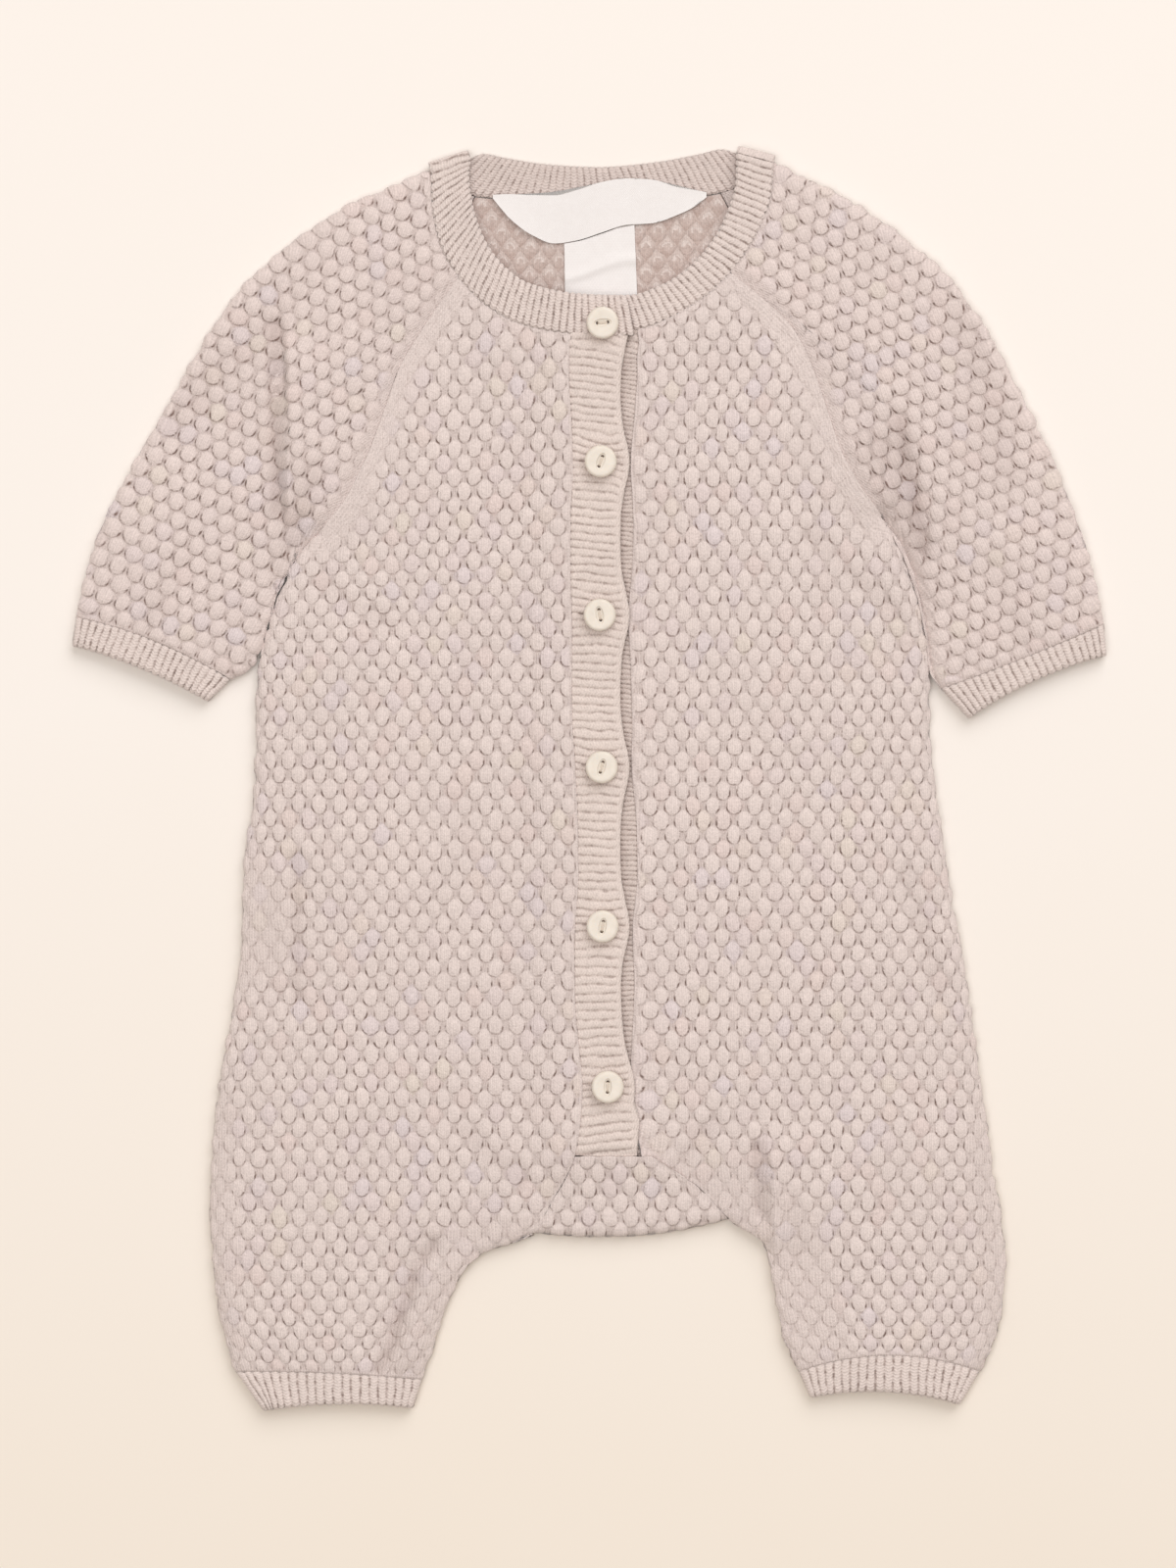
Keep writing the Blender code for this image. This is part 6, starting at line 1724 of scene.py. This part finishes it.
BUTTON_RADIUS, BUTTON_HEIGHT, BUTTON_SIDES = 5.1, 2.6, 48
BUTTON_LINE = (  # half its outline, as shares of its radius and its height
    (0.0, 0.0), (0.62, 0.0), (0.80, 0.08), (0.94, 0.26), (0.99, 0.44), (1.0, 0.58), (0.985, 0.74),
    (0.945, 0.87), (0.88, 0.95), (0.80, 0.98), (0.70, 0.975), (0.55, 0.94), (0.35, 0.90), (0.0, 0.88),
)
HOLE_RADIUS, HOLE_SPREAD = 0.55, 1.6
FISH_EYE = (2.8, 1.3, 0.7)  # the oblong hollow that the holes stand in: half its length, width and depth
FISH_EYE_HEIGHT = 0.93  # its middle, as a share of the button's height
THREAD, THREAD_APART = 0.5, 0.2  # how thick a strand is, and half the way from one to the other
THREAD_HEIGHT = 0.66  # the level between its rise and its ends, as a share of the button's height
THREAD_ARCH, THREAD_DOWN = 0.75, 0.6


def ivory(name):
    """Cast polyester button blank, turned and tumbled: a soft gloss over a faintly clouded warm ivory."""
    made, tree, shader = new_material(name)
    noise = noises(tree, {"cloud": (420.0, 3.0, 0.55), "scratch": (2400.0, 2.0, 0.5)})
    colour = add(tree, "ShaderNodeValToRGB", noise["cloud"])
    for end, position, code in zip(colour.color_ramp.elements, (0.3, 0.7), ("#e0d7cb", "#e8dfd3")):
        end.position, end.color = position, linear(code)
    own = {"Roughness": 0.38, "Subsurface Weight": 0.1, "Subsurface Radius": (0.001, 0.0008, 0.0006)}
    dress(tree, shader, colour.outputs[0], own, noise["scratch"], (0.4, 0.03 * MM))
    return made


def yarn_thread(name, code):
    """Three-ply sewing yarn: matt, with a fine slanting twist."""
    made, tree, shader = new_material(name)
    place = add(tree, "ShaderNodeTexCoord").outputs["Object"]
    twist = add(tree, "ShaderNodeTexWave", place, 1500.0, 1.0).outputs[1]
    dress(tree, shader, mixed(tree, twist, linear(code), linear("#cdbfb1")), {"Roughness": 0.9})
    return made


def object_of(name, body):
    """The object of a bmesh, which ends with it."""
    mesh = bpy.data.meshes.new(name)
    body.to_mesh(mesh)
    body.free()
    return placed(name, mesh)


def turned_button():
    """One button at the origin: its line spun round, with two holes cut through."""
    body = bmesh.new()
    line = [body.verts.new((r * BUTTON_RADIUS * MM, 0.0, h * BUTTON_HEIGHT * MM)) for r, h in BUTTON_LINE]
    edges = [body.edges.new(pair) for pair in zip(line, line[1:])]
    how = {"cent": (0, 0, 0), "axis": (0, 0, 1), "angle": FULL_TURN, "steps": BUTTON_SIDES, "use_merge": True}
    bmesh.ops.spin(body, geom=line + edges, **how)
    bmesh.ops.remove_doubles(body, verts=body.verts, dist=1e-6)
    bmesh.ops.recalc_face_normals(body, faces=body.faces)
    button = object_of("button", body)
    drills = []
    for way in (-1, 0, 1):
        drill = bmesh.new()
        if way == 0:
            bmesh.ops.create_uvsphere(drill, u_segments=36, v_segments=18, radius=MM)
            bmesh.ops.scale(drill, verts=drill.verts, vec=FISH_EYE)
            middle = 0.0, 0.0, FISH_EYE_HEIGHT * BUTTON_HEIGHT * MM
        else:
            sizes = dict.fromkeys(("radius1", "radius2"), HOLE_RADIUS * MM)
            bmesh.ops.create_cone(drill, cap_ends=True, segments=20, depth=4 * BUTTON_HEIGHT * MM, **sizes)
            middle = way * HOLE_SPREAD * MM, 0.0, 0.0
        bmesh.ops.translate(drill, verts=drill.verts, vec=middle)
        drills.append(object_of("drill", drill))
        cut = button.modifiers.new("hole", "BOOLEAN")
        cut.operation, cut.solver, cut.object = "DIFFERENCE", "EXACT", drills[-1]
    whole = as_mesh(button)
    for item in (button, *drills):
        bpy.data.objects.remove(item)
    whole.shade_smooth()
    whole.set_sharp_from_angle(angle=SHARP)
    return whole


def strand(points, radius, sides=6):
    """The points and faces of a round strand of yarn along a line, closed at both ends."""
    along = units(np.gradient(points, axis=0))
    side = units(np.cross(along, (0.0, 0.0, 1.0)) + np.array([1e-9, 0.0, 0.0]))
    up = np.cross(side, along)
    angle = np.linspace(0.0, FULL_TURN, sides, endpoint=False)[None, :, None]
    rings = points[:, None] + radius * (side[:, None] * np.cos(angle) + up[:, None] * np.sin(angle))
    count = len(points)
    faces = [
        [i * sides + j, i * sides + (j + 1) % sides, (i + 1) * sides + (j + 1) % sides, (i + 1) * sides + j]
        for i in range(count - 1) for j in range(sides)
    ]
    faces += [list(range(sides))[::-1], [(count - 1) * sides + j for j in range(sides)]]
    return rings.reshape(-1, 3), faces


def joined(name, forms, material):
    """One object from several forms, each a list of points and faces, in millimetres."""
    points, faces, start = [], [], 0
    for form_points, form_faces in forms:
        points.append(form_points)
        faces.extend([[index + start for index in face] for face in form_faces])
        start += len(form_points)
    mesh = bpy.data.meshes.new(name)
    mesh.from_pydata((np.concatenate(points) * MM).tolist(), [], faces)
    body = bmesh.new()
    body.from_mesh(mesh)
    bmesh.ops.recalc_face_normals(body, faces=body.faces)
    body.to_mesh(mesh)
    body.free()
    mesh.shade_smooth()
    mesh.materials.append(material)
    return placed(name, mesh)


SHARP = math.radians(40.0)  # edges that turn more than this stay crisp
IVORY = ivory("ivory cast polyester, turned")
YARN = yarn_thread("sewing thread", "#e6dbcd")
one_button = turned_button()
threads = []
for number, button in enumerate(BUTTONS, 1):
    rest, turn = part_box(f"button_{number}")[0].z, math.radians(button.turn)
    mesh = one_button.copy()
    mesh.name = f"button_{number}_turned"
    mesh.transform(Matrix.Translation((button.x * MM, button.y * MM, rest)) @ Matrix.Rotation(turn, 4, "Z"))
    mesh.materials.clear()
    mesh.materials.append(IVORY)
    piece = placed(mesh.name, mesh)
    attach(piece, "root")
    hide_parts(f"button_{number}")
    way = np.array([math.cos(turn), math.sin(turn), 0.0])
    side = np.array([-way[1], way[0], 0.0])
    centre = np.array([button.x, button.y, rest / MM + THREAD_HEIGHT * BUTTON_HEIGHT])
    for ply in (-THREAD_APART, THREAD_APART):
        share = np.linspace(-1.0, 1.0, 11)
        line = centre + side * ply + way * (share * (HOLE_SPREAD - 0.1))[:, None]
        line[:, 2] += THREAD_ARCH * (1.0 - share ** 8) - THREAD_DOWN
        threads.append(strand(line, THREAD / 2))
thread = joined("button_threads", threads, YARN)
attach(thread, "root")

# ---------------------------------------------------------------- The neck label and the size tab
# A leaf-shaped label in white damask weave, sewn to the inside of the back below the nape, and a white satin
# tab that hangs from it and goes down behind the neckband. Both are left without words.

LABEL_WALL, LABEL_HEIGHT = 0.5, 2.4
TAB_LEFT, TAB_RIGHT = (-7.4, 150.6), (15.6, 152.4)  # where the tab goes below the neckband
TAB_TOP_LEFT_X, TAB_TOP_RIGHT_X = -7.8, 14.4
TAB_HIDDEN = 9.0  # how far the tab goes on below the neckband
LABEL_FINE, TAB_FINE = (72, 14), (24, 44)
LABEL_COLOURS = linear("#f4f1f0"), linear("#e5dfdd")
Leaf = namedtuple("Leaf", "x low_y high_y")
NECK_LABEL = listed(
    Leaf,
    (-30.4, 182.8, 184.0), (-25.0, 176.4, 184.2), (-18.0, 171.2, 183.9), (-11.0, 168.6, 183.8),
    (-4.0, 169.5, 185.4), (4.0, 172.0, 188.0), (12.0, 174.5, 189.2), (20.0, 175.0, 188.8),
    (28.0, 177.6, 186.4), (34.0, 180.6, 185.4), (37.2, 183.2, 184.8),
)


def woven(name, across, down, gloss):
    """Polyester ribbon, woven fine and heat-cut: near white, with a soft silky sheen along the threads.

    Its threads are drawn some 0.5 to 1.6 mm apart, because real ones are too fine to show.
    """
    made, tree, shader = new_material(name)
    u, v, _ = mark_parts(tree, "stitch")
    known = {"u": u, "v": v, **noises(tree, {"cloud": (300.0, 2.0, 0.5)})}
    steps = (
        f"across MULTIPLY u {FULL_TURN / across}",
        f"down MULTIPLY v {FULL_TURN / down}",
        "weft SINE across",
        "warp SINE down",
        "weave MULTIPLY weft warp",
        "wave MULTIPLY_ADD weave 0.35 0.3",
        "dark MULTIPLY_ADD cloud 0.4 wave",
    )
    known = work_out(tree, steps, known)
    colour = mixed(tree, known["dark"], *LABEL_COLOURS)
    dress(tree, shader, colour, {"Roughness": gloss, "Sheen Weight": 0.2}, known["weave"], (0.5, 0.08 * MM))
    return made


def ribbon(name, node, plan, height, material, flat, area):
    """A thin woven piece of even thickness over a plan and its heights."""
    rows, columns = np.array([0, len(plan) - 1]), np.array([0, plan.shape[1] - 1])
    outer, lining = np.dstack([plan, height + LABEL_WALL]), np.dstack([plan, height])
    marks = marks_of(plan[..., 0], plan[..., 1], np.zeros(height.shape), base=0.0)
    made = shell(name, outer, lining, rows, columns, marks, fine=True)
    made.data.materials.append(material)
    made.data.set_sharp_from_angle(angle=SHARP)
    finish_cloth(made, node, "label", flat, area, ["back_knit"])


leaf = numbers(NECK_LABEL)
x = np.linspace(leaf[0, 0], leaf[-1, 0], LABEL_FINE[0] + 1)
low, high = through(leaf[:, 1:], leaf[:, 0], x).T
share = np.linspace(0.0, 1.0, LABEL_FINE[1] + 1)[:, None]
plan = np.dstack([np.tile(x, (LABEL_FINE[1] + 1, 1)), low * (1 - share) + high * share])
curl = 0.5 * (1.0 - share) ** 2 * np.sin(x / 9.0 + 1.0) ** 2 + 0.35 * share * np.cos(x / 13.0) ** 2
DAMASK = woven("white polyester damask", 0.7, 0.5, 0.55)
ribbon("neck_label_woven", "label_neck", plan, LABEL_HEIGHT + curl, DAMASK, (0.0676, 0.0195), 0.00085)

top_x = np.linspace(TAB_TOP_LEFT_X, TAB_TOP_RIGHT_X, TAB_FINE[0] + 1)
top = np.column_stack([top_x, through(leaf[:, 1:2], leaf[:, 0], top_x)[:, 0] - GAP])
bottom = np.linspace(TAB_LEFT, TAB_RIGHT, TAB_FINE[0] + 1) - np.array([0.0, TAB_HIDDEN])
plan = np.linspace(bottom, top, TAB_FINE[1] + 1)
share = np.linspace(0.0, 1.0, TAB_FINE[1] + 1)[:, None]
crease = 0.7 * hump(share - 0.62 - 0.04 * np.sin(top_x / 6.0), 0.06) * ease(share, 0.35, 0.65)
height = np.full(plan.shape[:2], KNIT_WALL + GAP) + crease
SATIN = woven("white polyester satin", 0.45, 1.6, 0.42)
ribbon("size_tab_satin", "label_size", plan, height, SATIN, (0.0232, 0.035), None)

# ---------------------------------------------------------------- Floor, light and camera
# A smooth warm white surface of matt cream paper, a large soft light from the far side and a broad fill
# overhead, and a camera straight above. The paper is painted darker and yellower towards the near side, as
# shade where the far light falls off.

FLOOR_SIZE, FLOOR_DEPTH = 6.0, 0.0001
half = FLOOR_SIZE / 2
floor_mesh = bpy.data.meshes.new("floor")
corners = [(x, y, -FLOOR_DEPTH) for x, y in ((-half, -half), (half, -half), (half, half), (-half, half))]
floor_mesh.from_pydata(corners, [], [(0, 1, 2, 3)])
floor = placed("floor", floor_mesh)
paper, tree, shader = new_material("matt cream paper")
place = add(tree, "ShaderNodeTexCoord").outputs["Object"]
_, down, _ = add(tree, "ShaderNodeSeparateXYZ", place).outputs
cloud = add(tree, "ShaderNodeTexNoise", place, None, 6.0, 2.0, 0.5)
steps = (
    "clouded MULTIPLY_ADD cloud 0.12 down",
    "share MULTIPLY_ADD clouded 3.2 0.72",
    *held("share_held", "share", 0.0, 1.0),
)
share = work_out(tree, steps, {"cloud": cloud, "down": down})["share_held"]
# Painted shade: the paper is darker and yellower towards the near side, away from the far softbox.
colour = mixed(tree, share, linear("#ede3d6"), linear("#f3ede7"))
dress(tree, shader, colour, {"Roughness": 0.9, "Specular IOR Level": 0.1})
floor_mesh.materials.append(paper)

Softbox = namedtuple("Softbox", "name place size power colour")
SOFTBOXES = listed(
    Softbox,
    ("far softbox", (1.0, 2.3, 2.6), 3.0, 78.0, "#fdfdff"),
    ("overhead softbox", (-0.6, -0.3, 3.2), 2.4, 46.0, "#fdfdff"),
)
for box in SOFTBOXES:
    light = bpy.data.lights.new(box.name, "AREA")
    light.shape, light.size, light.energy = "SQUARE", box.size, box.power
    light.color = linear(box.colour)[:3]
    lamp = placed(box.name, light)
    lamp.location = box.place
    lamp.rotation_euler = Vector(np.negative(box.place)).to_track_quat("-Z", "Y").to_euler()
world = bpy.data.worlds.new("studio")
world.use_nodes = True
background = world.node_tree.nodes["Background"]
background.inputs["Color"].default_value = linear("#fff2e2")
background.inputs["Strength"].default_value = 0.38
bpy.context.scene.world = world
bpy.context.scene.view_settings.view_transform = "Standard"

CAMERA_UP, CLOTH_UP = 1.8, 0.004  # in metres, as is what the view takes in
VIEW_X, VIEW_Y, VIEW_TALL = -0.0003, -0.0025, 0.496
camera_data = bpy.data.cameras.new("camera")
camera = placed("camera", camera_data)
camera.location = (VIEW_X, VIEW_Y, CAMERA_UP)
camera_data.sensor_fit = "VERTICAL"
camera_data.angle = 2.0 * math.atan(VIEW_TALL / 2 / (CAMERA_UP - CLOTH_UP))
camera_data.clip_end = 20.0
bpy.context.scene.camera = camera
